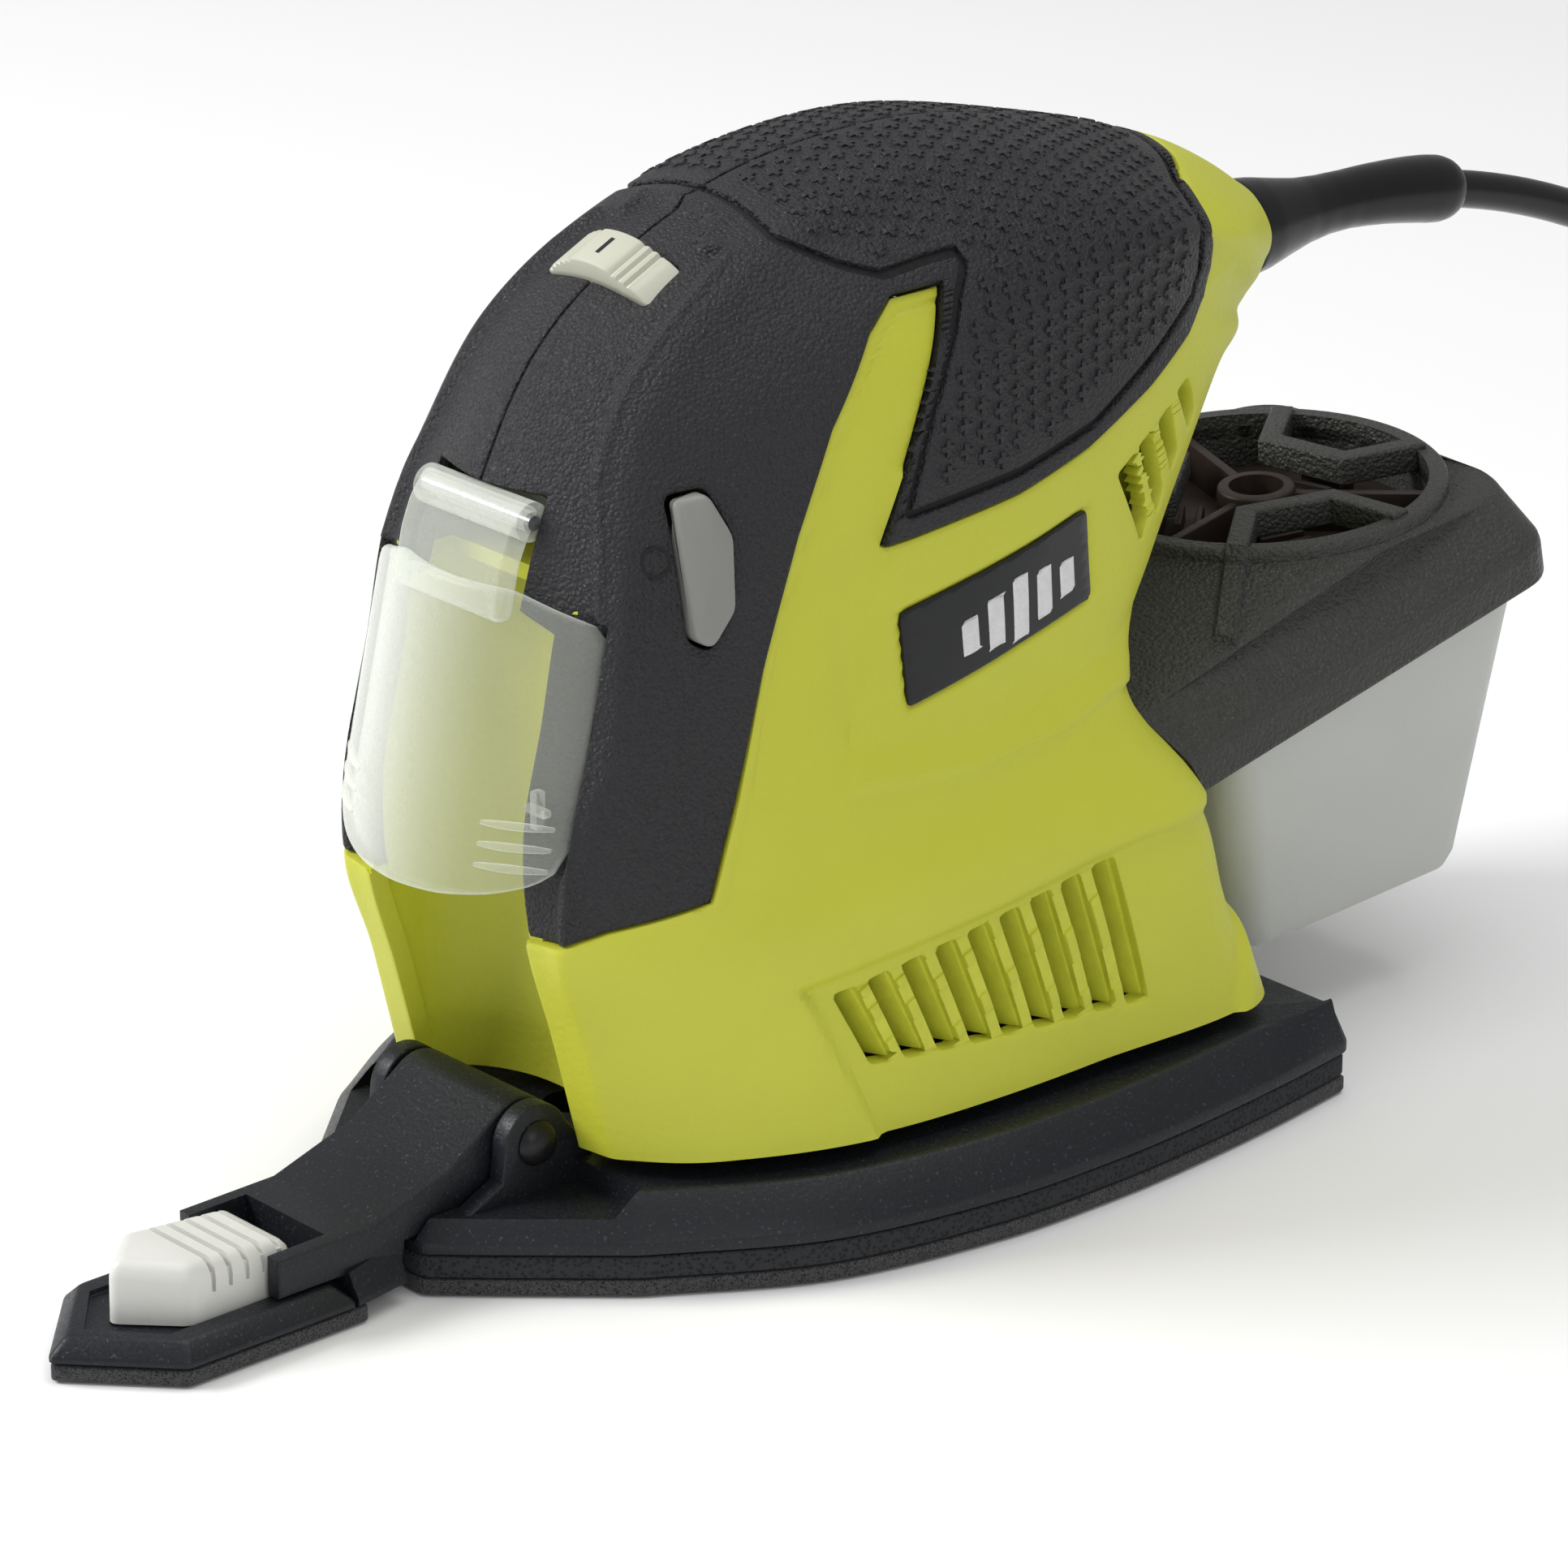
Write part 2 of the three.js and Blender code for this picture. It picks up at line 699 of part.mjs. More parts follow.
function buildStator() {
  const core = ringAt(STATOR.bore, STATOR.outer, STATOR.low, STATOR.high, 0, 0, 28);
  const slots = [30, 150, 210, 330].map((middle) =>
    sector(12, 22.6, middle - 8, middle + 8, 50, 90, 3),
  );
  addNode("stator_core", toGeometry(cut(core, ...slots)), LAMINATION);
  const windings = { front: 270, back: 90 };
  Object.entries(windings).forEach(([place, middle]) => {
    const coil = join(
      sector(15, 21.6, middle - 66, middle + 66, STATOR.high + GAP, STATOR.high + 5, 6),
      sector(15, 21.6, middle - 66, middle + 66, STATOR.low - 5, STATOR.low - GAP, 6),
      sector(15, 21.6, middle - 66, middle - 54, STATOR.low - 4, STATOR.high + 4, 2),
      sector(15, 21.6, middle + 54, middle + 66, STATOR.low - 4, STATOR.high + 4, 2),
    );
    addNode(`field_winding_${place}`, toGeometry(coil), COPPER);
  });
}

function buildBearings() {
  addNode("upper_bearing", ring(4.3, 8, 109, 115), STEEL);
  addNode("lower_bearing", ring(4.3, 10.5, 42, 48), STEEL);
  const plate = join(
    ringAt(10.8, 14.5, 40.4, 47, 0, 0),
    ringAt(13, 32.8, 40.4, 43, 0, 0, 22),
  );
  const vents = Array.from({ length: 6 }, (_, i) =>
    sector(18, 29.5, 60 * i + 8, 60 * i + 52, 35, 50, 3),
  );
  addNode("bearing_plate", toGeometry(cut(plate, ...vents)), ALUMINIUM);
}

function buildBrushes() {
  [1, -1].forEach((side) => {
    const name = side > 0 ? "left" : "right";
    const span = (low, high) => [side * low, side * high].sort((a, b) => a - b);
    const brush = box(span(9.6, 21), [-2.4, 2.4], [92, 100]);
    const tube = cut(
      box(span(11.4, 25), [-4, 4], [90.4, 101.6]),
      box(span(10, 23.6), [-2.8, 2.8], [91.6, 100.4]),
    );
    addNode(`carbon_brush_${name}`, toGeometry(brush), CARBON);
    addNode(`brush_holder_${name}`, toGeometry(tube), BRASS);
  });
}

// ---------------------------------------------------------------- motor, turning parts
function buildRotor() {
  addNode("motor_shaft", rod(4, 24, 117, 16), STEEL);
  addNode("armature_core", ring(4.3, 13, 55, 83, 24), LAMINATION);
  addNode("commutator", ring(4.3, 9.2, 89.5, 103, 18), COPPER);
  const blades = Array.from({ length: 7 }, (_, i) => {
    const blade = new THREE.BoxGeometry(20, 1.4, 8).translate(19, 0, 34);
    return toSolid(blade.rotateZ((2 * Math.PI * i) / 7));
  });
  const hub = ringAt(4.3, 9.6, 28.6, 38.2, 0, 0, 20);
  const disc = ringAt(9, 30, 28.6, 30.4, 0, 0, 28);
  addNode("cooling_fan", toGeometry(join(hub, disc, ...blades)), CARBON);
  const pin = cylinderZ(7.8, 14.6, 22.4, 0, ORBIT);
  const collar = cylinderZ(12, 22.4, 28.2, 0, 0);
  const weight = sector(10, 24, 205, 335, 22.4, 28.2, 8);
  const shaftHole = cylinderZ(4.3, 23.6, 30, 0, 0, 16);
  const screwHole = cylinderZ(2.3, 10, 22, 0, ORBIT, 12);
  const eccentric = cut(join(pin, collar, weight), shaftHole, screwHole);
  addNode("eccentric_counterweight", toGeometry(eccentric), ALUMINIUM);
  const screw = turned(
    [
      [0, 11],
      [4.6, 11],
      [4.6, 14.2],
      [2, 14.2],
      [2, 21.4],
      [0, 21.4],
    ],
    16,
  );
  addNode("pad_screw", screw, SCREW_STEEL).position.y = ORBIT;
}

// ---------------------------------------------------------------- sanding pad
// Half of the pad's outline as (x, y): a blunt nose, bowed sides and a straight tail.
const PAD_SIDE = [
  [13.2, -81],
  [19.6, -74.2],
  [34.3, -58],
  [48.5, -34.3],
  [54.9, -7.3],
  [56.1, 14.5],
  [55.5, 31.6],
  [53.8, 50.1],
  [51.1, 69],
];

function padOutline(inset) {
  const right = PAD_SIDE;
  const left = PAD_SIDE.map(([x, y]) => [-x, y]).reverse();
  return grown([...right, ...left], -inset);
}

function padRing(inset, z) {
  return padOutline(inset).map(([x, y]) => new THREE.Vector3(x, y, z));
}

const DUST_HOLES = [
  [0, -42],
  [-30, -14],
  [30, -14],
  [-34, 30],
  [34, 30],
  [0, 48],
];

function dustHoles(low, high) {
  return DUST_HOLES.map(([x, y]) => cylinderZ(4, low, high, x, y, 8));
}

// The top face of the plate: the bevel is steeper across the tail than along the sides.
function plateTop() {
  const top = padOutline(5.4).map(([x, y]) => (y > 60 ? [Math.sign(x) * 47.5, 66.4] : [x, y]));
  return top.map(([x, y]) => new THREE.Vector3(x, y, PLATE.top));
}

function buildPad() {
  const rings = [
    padRing(0, PLATE.bottom),
    padRing(0, PLATE.bandTop),
    plateTop(),
  ];
  const seat = cylinderZ(17, PLATE.top - 2, 21.8, 0, ORBIT, 24);
  const lugs = [1, -1].map((side) => {
    const outline = [
      [-78, PLATE.bottom],
      [-50, PLATE.bottom],
      [-50, PLATE.top],
      ...arcPoints(PIVOT.radius, 20, 180, 8, PIVOT.y, PIVOT.z),
      [-67.6, 14],
      [-78, 9],
    ];
    const span = [side * 12.3, side * 15.5].sort((a, b) => a - b);
    return prismX(outline, ...span);
  });
  const fingerSlot = box([-12, 12], [-90, -48.6], [8, 40]);
  const nosePlatform = box([-30, 30], [-95, -54], [11, 17]);
  const body = join(cut(loftSolid(rings), nosePlatform), seat, ...lugs);
  const tools = [
    fingerSlot,
    cylinderZ(13.4, 15.2, 30, 0, ORBIT, 24),
    cylinderZ(9.6, 8.4, 30, 0, ORBIT, 20),
    cylinderX(PIVOT.pin + 0.1, -20, 20, PIVOT.y, PIVOT.z, 10),
    ...dustHoles(0, 30),
  ];
  addNode("base_plate", toGeometry(largest(cut(body, ...tools))), BLUE_BLACK);
  const foam = prismZ(padOutline(0.4), FOAM.bottom, FOAM.top);
  addNode("foam_pad", toGeometry(cut(foam, ...dustHoles(0, 10))), FOAM_BLACK);
  const sheet = prismZ(padOutline(0.2), SHEET.bottom, SHEET.top);
  addNode("hook_sheet", toGeometry(cut(sheet, ...dustHoles(-2, 10))), HOOK_BLACK);
  addNode("orbit_bearing", ring(8.1, 13.1, 15.5, 21.6), STEEL).position.y = ORBIT;
}

function buildPivotPin() {
  const shank = PIVOT.pin - 0.1;
  const head = [
    [0, -17.5],
    [2.4, -17],
    [3.4, -15.7],
    [shank, -15.7],
    [shank, 15.7],
    [3.4, 15.7],
    [2.4, 17],
    [0, 17.5],
  ];
  const pin = addNode("finger_pivot_pin", turned(head, 12), RUBBER);
  pin.rotation.y = Math.PI / 2;
  pin.position.set(0, PIVOT.y, PIVOT.z);
}

// ---------------------------------------------------------------- detail finger
const FINGER = { tip: -136.7, corner: -123.2, half: 14.6, padEnd: -91, seam: -93.3 };

function fingerOutline(inset, end) {
  const half = FINGER.half - inset;
  const tipHalf = 1.2;
  const tipInset = inset * 1.35;
  return [
    [tipHalf, FINGER.tip + tipInset],
    [half, FINGER.corner + inset * 0.55],
    [half, end],
    [-half, end],
    [-half, FINGER.corner + inset * 0.55],
    [-tipHalf, FINGER.tip + tipInset],
  ];
}

function fingerRing(inset, end, z) {
  return fingerOutline(inset, end).map(([x, y]) => new THREE.Vector3(x, y, z));
}

const SLIDER = { front: -126, rear: -99.4, half: 8.4, low: 5.5, high: 14.6, travel: 4 };

function buildFinger() {
  const pad = prismZ(fingerOutline(0.2, FINGER.padEnd), 0, SHEET.top);
  addNode("finger_hook_pad", toGeometry(pad), HOOK_BLACK);

  const plateEnd = FINGER.seam - GAP;
  const plate = loftSolid([
    fingerRing(0, plateEnd, FOAM.bottom),
    fingerRing(0, plateEnd, 3.6),
    fingerRing(2.2, plateEnd, 6),
  ]);
  const recess = prismZ(
    [
      [0, -130.4],
      [9.2, -122.6],
      [9.2, -90],
      [-9.2, -90],
      [-9.2, -122.6],
    ],
    5.2,
    10,
  );
  const keyhole = box([-3.4, 3.4], [-121, -106], [0, 10]);
  addNode("finger_plate", toGeometry(cut(plate, recess, keyhole)), BLUE_BLACK);

  const profile = [
    [-93.2, FOAM.bottom],
    [-83.2, FOAM.bottom],
    [-82.2, 8.4],
    [-66, 8.6],
    ...arcPoints(PIVOT.radius, -100, 120, 10, PIVOT.y, PIVOT.z),
    [-74, 17],
    [-88, 12.6],
    [-105, 12.4],
    [-105, 6.4],
    [-93.2, 6.4],
  ];
  const arm = prismX(profile, -11.6, 11.6);
  const skirt = loftSolid([
    fingerWing(0, FOAM.bottom),
    fingerWing(0, 3.6),
    fingerWing(2.2, 7.2),
  ]);
  const bore = cylinderX(PIVOT.pin + 0.2, -20, 20, PIVOT.y, PIVOT.z, 12);
  const sliderSlot = box([-9, 9], [-120, SLIDER.rear + SLIDER.travel + 0.6], [5, 20]);
  const armSolid = cut(join(arm, skirt), bore, sliderSlot);
  addNode("finger_arm", toGeometry(largest(armSolid)), BLUE_BLACK);
  buildSlider();
}

// The arm's edge carries on the outline of the plate.
function fingerWing(inset, z) {
  const half = FINGER.half - inset;
  return [
    new THREE.Vector3(half, FINGER.seam, z),
    new THREE.Vector3(half - 1.6, -83.4, z + (z > 6 ? 1.4 : 0)),
    new THREE.Vector3(1.6 - half, -83.4, z + (z > 6 ? 1.4 : 0)),
    new THREE.Vector3(-half, FINGER.seam, z),
  ];
}

function sliderRing(inset, z, lift) {
  const half = SLIDER.half - inset;
  return [
    new THREE.Vector3(0.8, SLIDER.front + inset, z),
    new THREE.Vector3(half, SLIDER.front + 8, z),
    new THREE.Vector3(half - 0.8, SLIDER.rear, z + lift),
    new THREE.Vector3(0.8 - half, SLIDER.rear, z + lift),
    new THREE.Vector3(-half, SLIDER.front + 8, z),
    new THREE.Vector3(-0.8, SLIDER.front + inset, z),
  ];
}

function buildSlider() {
  const block = loftSolid([
    sliderRing(0, SLIDER.low, 0),
    sliderRing(0.3, 11.5, -1),
    sliderRing(1.2, SLIDER.high - 2, -1.2),
  ]);
  const grooves = Array.from({ length: 5 }, (_, i) => {
    const y = -114.5 + i * 3;
    return box([-9, 9], [y, y + 0.9], [10.9, 20]);
  });
  const foot = box([-2.8, 2.8], [-119.6, -112], [3.2, 6.4]);
  addNode("lock_slider", toGeometry(join(cut(block, ...grooves), foot)), PALE_GREY);
}

// ---------------------------------------------------------------- rubber legs and dust duct
function buildLegs() {
  const places = [
    [-28, -24],
    [28, -24],
    [-32, 40],
    [32, 40],
  ];
  places.forEach(([x, y], i) => {
    const leg = turned(
      [
        [0, PLATE.top + GAP],
        [5, PLATE.top + GAP],
        [3.4, 18],
        [3.4, 24],
        [5, 27],
        [0, 27],
      ],
      14,
    );
    addNode(`rubber_leg_${i + 1}`, leg, RUBBER).position.set(x, y, 0);
  });
}

function buildDustDuct() {
  const outer = DUST_PORT.radius - 0.6;
  const inner = outer - 1.6;
  const level = (radius, length, y) =>
    toSolid(new THREE.CylinderGeometry(radius, radius, length, 14).translate(0, y, DUST_PORT.z));
  const upright = cylinderZ(outer, 17, 46, 0, 41, 14);
  const spout = level(outer, 18, 51);
  const bore = join(cylinderZ(inner, 10, 44.4, 0, 41, 14), level(inner, 30, 57));
  addNode("dust_duct", toGeometry(cut(join(upright, spout), bore)), CARBON);
}

// ---------------------------------------------------------------- dust box
// The lid lies on a plane that rises towards the back. Its own frame has s running back along
// that plane and n standing up from it.
function lidPoint(x, s, n) {
  const slope = THREE.MathUtils.degToRad(LID.slope);
  const y = LID.y + s * Math.cos(slope) - n * Math.sin(slope);
  const z = LID.z + s * Math.sin(slope) + n * Math.cos(slope);
  return new THREE.Vector3(x, y, z);
}

const CORNER_STEPS = 4;

// A rounded rectangle in the lid's frame, counter-clockwise, with the same point count always.
function lidRing(half, front, back, corner, n) {
  const corners = [
    [half - corner, front + corner, -90],
    [half - corner, back - corner, 0],
    [corner - half, back - corner, 90],
    [corner - half, front + corner, 180],
  ];
  const outline = corners.flatMap(([x, s, from]) =>
    arcPoints(corner, from, from + 90, CORNER_STEPS, x, s),
  );
  return outline.map(([x, s]) => lidPoint(x, s, n));
}

// The round rim lies on a flatter plane of its own. In its frame x and v are measured from the
// rim's centre and w is the height above the rim's top.
function rimPoint(x, v, w) {
  const slope = THREE.MathUtils.degToRad(RIM.slope);
  const y = RIM.y + v * Math.cos(slope) - w * Math.sin(slope);
  const z = RIM.z + v * Math.sin(slope) + w * Math.cos(slope);
  return new THREE.Vector3(x, y, z);
}

function rimCircle(radius, w) {
  const outline = [-90, 0, 90, 180].flatMap((from) =>
    arcPoints(radius, from + 8, from + 82, CORNER_STEPS),
  );
  return outline.map(([x, v]) => rimPoint(x, v, w));
}

function rimCylinder(radius, low, high, segments = 20) {
  const geometry = rod(radius, low, high, segments);
  geometry.rotateX(THREE.MathUtils.degToRad(RIM.slope));
  return toSolid(geometry.translate(0, RIM.y, RIM.z));
}

// A straight bar in the rim's plane between two (x, v) points.
function rimBar(from, to, width, low, high) {
  const [dx, dv] = [to[0] - from[0], to[1] - from[1]];
  const length = Math.hypot(dx, dv);
  const [px, pv] = [(-dv / length) * (width / 2), (dx / length) * (width / 2)];
  const corner = ([x, v], side, w) => rimPoint(x + side * px, v + side * pv, w);
  const level = (w) => [
    corner(from, 1, w),
    corner(from, -1, w),
    corner(to, -1, w),
    corner(to, 1, w),
  ];
  return loftSolid([level(low), level(high)]);
}

function polar(radius, degrees) {
  const angle = THREE.MathUtils.degToRad(degrees);
  return [radius * Math.cos(angle), radius * Math.sin(angle)];
}

const BRIDGE = { start: -51, span: 57, outer: 28.3, inner: 15, width: 3.6, low: -3.7, high: 0.7 };

function rimBridges() {
  return [0, 120, 240].flatMap((turn) => {
    const first = BRIDGE.start + turn;
    const last = first + BRIDGE.span;
    const { outer, inner, width, low, high } = BRIDGE;
    return [
      rimBar(polar(outer, first), polar(inner, first), width, low, high),
      rimBar(polar(inner, first), polar(inner, last), width, low, high),
      rimBar(polar(inner, last), polar(outer, last), width, low, high),
    ];
  });
}

// The end of a bridge runs over the rim and down the dome to the lid's edge. Each section is
// (reach from the rim's centre, height of the bar's top above the rim's top).
const LEG_SECTIONS = [
  [28.7, -0.5],
  [31.5, -1],
  [43, -9.8],
];

function rimLeg(angle) {
  const [dx, dv] = polar(BRIDGE.width / 2, angle + 90);
  const section = ([reach, top]) => {
    const [x, v] = polar(reach, angle);
    return [
      rimPoint(x + dx, v + dv, top),
      rimPoint(x - dx, v - dv, top),
      rimPoint(x - dx, v - dv, top - 4),
      rimPoint(x + dx, v + dv, top - 4),
    ];
  };
  return loftSolid(LEG_SECTIONS.map(section));
}

function buildLid() {
  const outside = loftSolid([
    lidRing(36, -12, 77, 7, 0),
    lidRing(36, -12, 77, 7, 6.4),
    lidRing(29, -14, 77, 9, 13.3),
    rimCircle(RIM.radius + 1, -1.9),
  ]);
  const inside = loftSolid([
    lidRing(34, -10, 75, 6, -3),
    lidRing(34, -10, 75, 6, 5.8),
    lidRing(27.6, -11, 75, 8, 11.6),
    rimCircle(RIM.radius - 1, -3.9),
  ]);
  const opening = rimCylinder(RIM.open, -30, 20);
  const rim = cut(rimCylinder(RIM.radius, -RIM.depth, 0), opening);
  const legs = [BRIDGE.start, 180 - BRIDGE.start].map(rimLeg);
  const roof = cut(outside, inside, rimCylinder(RIM.open, -RIM.depth - 1, 20));
  const lid = cut(
    join(roof, rim, ...legs, ...rimBridges()),
    housingSolid(1.6, range(0, 6, 1), OUTER_RAILS, HOUSING_BOTTOM - 5),
  );
  addNode("dust_lid", toGeometry(largest(lid)), LID_BLACK);
}

function buildFilter() {
  const seat = new THREE.Group();
  seat.rotation.x = THREE.MathUtils.degToRad(RIM.slope);
  seat.position.copy(rimPoint(0, 0, 0));
  group.add(seat);
  const hub = ringAt(4.1, 6.4, -9.9, -1.3, 0, 0, 18);
  const disc = ringAt(4.1, RIM.open - GAP, -10.3, -8.7, 0, 0, 20);
  const fins = [40, 160, 280].map((angle) => {
    const fin = new THREE.BoxGeometry(21, 1.5, 6.6).translate(15.9, 0, -5.7);
    return toSolid(fin.rotateZ(THREE.MathUtils.degToRad(angle)));
  });
  const ribs = [100, 220, 340].flatMap((angle) =>
    range(10, 22, 4).map((reach) => {
      const rib = new THREE.BoxGeometry(1, 7, 2.6).translate(reach, 0, -7.7);
      return toSolid(rib.rotateZ(THREE.MathUtils.degToRad(angle)));
    }),
  );
  addNode("filter_frame", toGeometry(join(disc, hub, ...fins, ...ribs)), BROWN_BLACK, seat);
  const pleats = Array.from({ length: 32 }, (_, i) => {
    const radius = i % 2 ? 16.4 : 18.6;
    const angle = (Math.PI * i) / 16;
    return [radius * Math.cos(angle), radius * Math.sin(angle)];
  });
  const paper = cut(prismZ(pleats, -18.9, -10.6), cylinderZ(13, -30, 0));
  addNode("filter_element", toGeometry(paper), PAPER, seat);
}

// The translucent tub hangs below the lid and narrows towards its floor.
function tubRing(half, front, back, corner, tilt, z) {
  const ringPoints = lidRing(half, front, back, corner, 0);
  return ringPoints.map((point) => {
    const run = (point.y - LID.y) / Math.cos(THREE.MathUtils.degToRad(LID.slope));
    return new THREE.Vector3(point.x, point.y, z + tilt * run);
  });
}

function buildTub() {
  const outside = loftSolid([
    tubRing(29.5, 14, 64, 6, 0.05, 14.6),
    tubRing(33.6, 6.5, 71.6, 6, 0.2144, LID.z + 0.6),
  ]);
  const inside = loftSolid([
    tubRing(27.9, 15.6, 62.4, 5, 0.05, 16.4),
    tubRing(32.4, 7.7, 70.4, 5, 0.2144, LID.z + 3),
  ]);
  const { radius, z } = DUST_PORT;
  const port = toSolid(new THREE.CylinderGeometry(radius, radius, 20, 14).translate(0, 62, z));
  addNode("dust_box", toGeometry(cut(outside, inside, port)), FROSTED);
}

// ---------------------------------------------------------------- cable
function cableLine(from, to) {
  const drop = (y) => 119.6 - 0.0036 * Math.max(y - 110, 0) ** 2;
  return new THREE.CatmullRomCurve3(
    range(0, 6, 1).map((i) => {
      const y = from + ((to - from) * i) / 6;
      return new THREE.Vector3(0, y, drop(y));
    }),
  );
}

function tube(radius, from, to, sides, steps) {
  const outline = arcPoints(radius, 0, 360 - 360 / sides, sides - 1);
  const options = { steps, bevelEnabled: false, extrudePath: cableLine(from, to) };
  return new THREE.ExtrudeGeometry(shapeOf(outline), options);
}

function buildCable() {
  const sleeve = join(
    toSolid(new THREE.CylinderGeometry(4.6, 4.6, 12, 12).translate(0, 88, 119.6)),
    toSolid(new THREE.CylinderGeometry(6, 7.6, 10, 12).translate(0, 98.4, 119.6)),
    toSolid(new THREE.CylinderGeometry(4.8, 6, 9, 12).translate(0, 107.8, 119.6)),
    toSolid(tube(4.8, 112, 139, 12, 4)),
  );
  const bore = join(
    toSolid(tube(3.4, 111, 142, 8, 4)),
    toSolid(new THREE.CylinderGeometry(3.4, 3.4, 34, 8).translate(0, 95, 119.6)),
  );
  addNode("cable_guard", toGeometry(cut(sleeve, bore)), RUBBER);
  const cable = join(
    toSolid(tube(3, 111.5, 176, 10, 10)),
    toSolid(new THREE.CylinderGeometry(3, 3, 42, 10).translate(0, 91, 119.6)),
  );
  addNode("power_cable", toGeometry(cable), RUBBER);
  const clamp = cut(
    box([-7, 7], [74, 80], [115, 125]),
    toSolid(new THREE.CylinderGeometry(3.3, 3.3, 20, 12).translate(0, 77, 119.6)),
  );
  addNode("cord_clamp", toGeometry(clamp), CARBON);
}

// ---------------------------------------------------------------- case screws
function buildCaseScrews() {
  CASE_SCREWS.forEach(([y, z], i) => {
    const screw = turned(
      [
        [0, -2.3],
        [SCREW.head, -1],
        [SCREW.head, 0.4],
        [SCREW.shank, 0.4],
        [SCREW.shank, 21],
        [0, 22.5],
      ],
      8,
    );
    const mesh = addNode(`case_screw_${i + 1}`, screw, SCREW_STEEL);
    mesh.rotation.y = Math.PI / 2;
    mesh.position.set(SCREW.headX - 0.7, y, z);
  });
}

// ---------------------------------------------------------------- assembly
buildHousing();
buildBadges();
buildFlap();
buildDial();
buildSwitch();
buildStator();
buildBearings();
buildBrushes();
buildRotor();
buildPad();
buildPivotPin();
buildFinger();
buildLegs();
buildDustDuct();
buildLid();
buildFilter();
buildTub();
buildCable();
buildCaseScrews();

export default group;
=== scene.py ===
"""Corded palm sander with a fold-up detail finger and a dust box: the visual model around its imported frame.

Lengths below are in millimetres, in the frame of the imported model, and become metres when a mesh is made.
"""
import json
import math

import bmesh
import bpy
import numpy as np
from mathutils import Matrix, Vector


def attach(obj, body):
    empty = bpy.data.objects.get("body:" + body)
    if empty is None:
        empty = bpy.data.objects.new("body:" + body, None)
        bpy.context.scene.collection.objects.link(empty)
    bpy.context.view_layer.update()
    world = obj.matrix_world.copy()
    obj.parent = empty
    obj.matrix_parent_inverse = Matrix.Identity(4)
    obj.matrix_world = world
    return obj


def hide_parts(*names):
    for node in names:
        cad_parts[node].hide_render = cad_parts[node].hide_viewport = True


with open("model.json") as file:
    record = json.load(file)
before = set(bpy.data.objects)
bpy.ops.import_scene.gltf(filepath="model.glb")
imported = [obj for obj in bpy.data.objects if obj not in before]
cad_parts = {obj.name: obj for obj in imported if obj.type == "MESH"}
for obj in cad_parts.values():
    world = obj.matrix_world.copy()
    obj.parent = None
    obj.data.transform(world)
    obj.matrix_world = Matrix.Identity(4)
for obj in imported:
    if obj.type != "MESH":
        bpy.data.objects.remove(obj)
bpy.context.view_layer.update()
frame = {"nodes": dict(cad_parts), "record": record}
NODES = frame["nodes"]
MM = 0.001
MERGE = 0.002 * MM

# ---------------------------------------------------------------- housing skin
# Each station runs from a front (or top) point to a back (or under) point, both (y, z) on the
# middle plane, with six side points between them, each (run along the chord, half-width).
STATIONS = [
    ((-56.5, 17), (59.9, 17),
     [(1.5, 20), (3.9, 26.5), (14.2, 35.8), (37.4, 44.8), (76.5, 47.3), (114.7, 43.4)]),
    ((-61.7, 35), (53.6, 35),
     [(2.1, 20), (4.5, 26.2), (15.7, 36.2), (35.7, 43.6), (79.7, 47), (112.9, 43.4)]),
    ((-66.5, 52), (50.5, 50), [(2.2, 20), (5.3, 26.3), (21.5, 38), (41.5, 42.5), (81.5, 45), (113.1, 42.6)]),
    ((-70, 68), (43.5, 62), [(6.2, 21), (11.4, 28), (25.5, 35.5), (44.5, 39.5), (79.5, 40.5), (109, 36.5)]),
    ((-67, 84), (43, 72), [(7.8, 22.5), (14, 29.5), (27, 34.5), (45, 37), (75, 38), (106, 32)]),
    ((-62.5, 101), (54, 84), [(7, 23), (14, 28), (28, 33), (47, 35.5), (80, 36.5), (112.5, 27.5)]),
    ((-57, 116), (65, 98), [(5, 18), (13, 25), (30, 32), (52, 35), (85, 34.5), (118, 24)]),
    ((-47, 131.5), (74, 107), [(4.5, 16), (12, 22.5), (30, 31), (55, 34.5), (90, 31.5), (118.5, 20)]),
    ((-31, 142.5), (79.5, 110), [(4.5, 15), (12, 21), (29, 30), (52, 34), (85, 29), (112.5, 16)]),
    ((-8, 150), (82.5, 111.5), [(4, 13.5), (11, 20), (24, 28.5), (42, 33), (70, 27), (95.5, 13)]),
    ((22, 151.3), (85, 112), [(3.2, 12.5), (9.5, 20), (20, 27.5), (33, 30.5), (52, 23.5), (72, 11)]),
    ((52, 145.2), (87, 112.3), [(2.5, 10.5), (7, 17), (14, 22.5), (23, 24.5), (35, 18.5), (46.5, 9)]),
    ((74, 138), (88.5, 112.8), [(1.6, 7.5), (4.5, 12), (9, 15.5), (14.5, 16.5), (21, 14), (27.5, 8)]),
    ((87, 130), (89.7, 113), [(0.6, 5), (2, 8.5), (5, 11), (8.3, 11.7), (12, 10), (16, 5)]),
]
LAST = len(STATIONS) - 1
TAIL_HOLE = 5.2
TAIL_Y, TAIL_Z = 89.0, 119.6
SIDES = ((1, "left"), (-1, "right"))
MIRROR = np.array([-1, 1, 1])


def station_points():
    rows = []
    for front, back, side in STATIONS:
        front, back = np.array(front, float), np.array(back, float)
        along = (back - front) / np.linalg.norm(back - front)
        rows.append([(0, *front)] + [(half, *(front + along * run)) for run, half in side] + [(0, *back)])
    return np.array(rows)


RAILS = station_points()


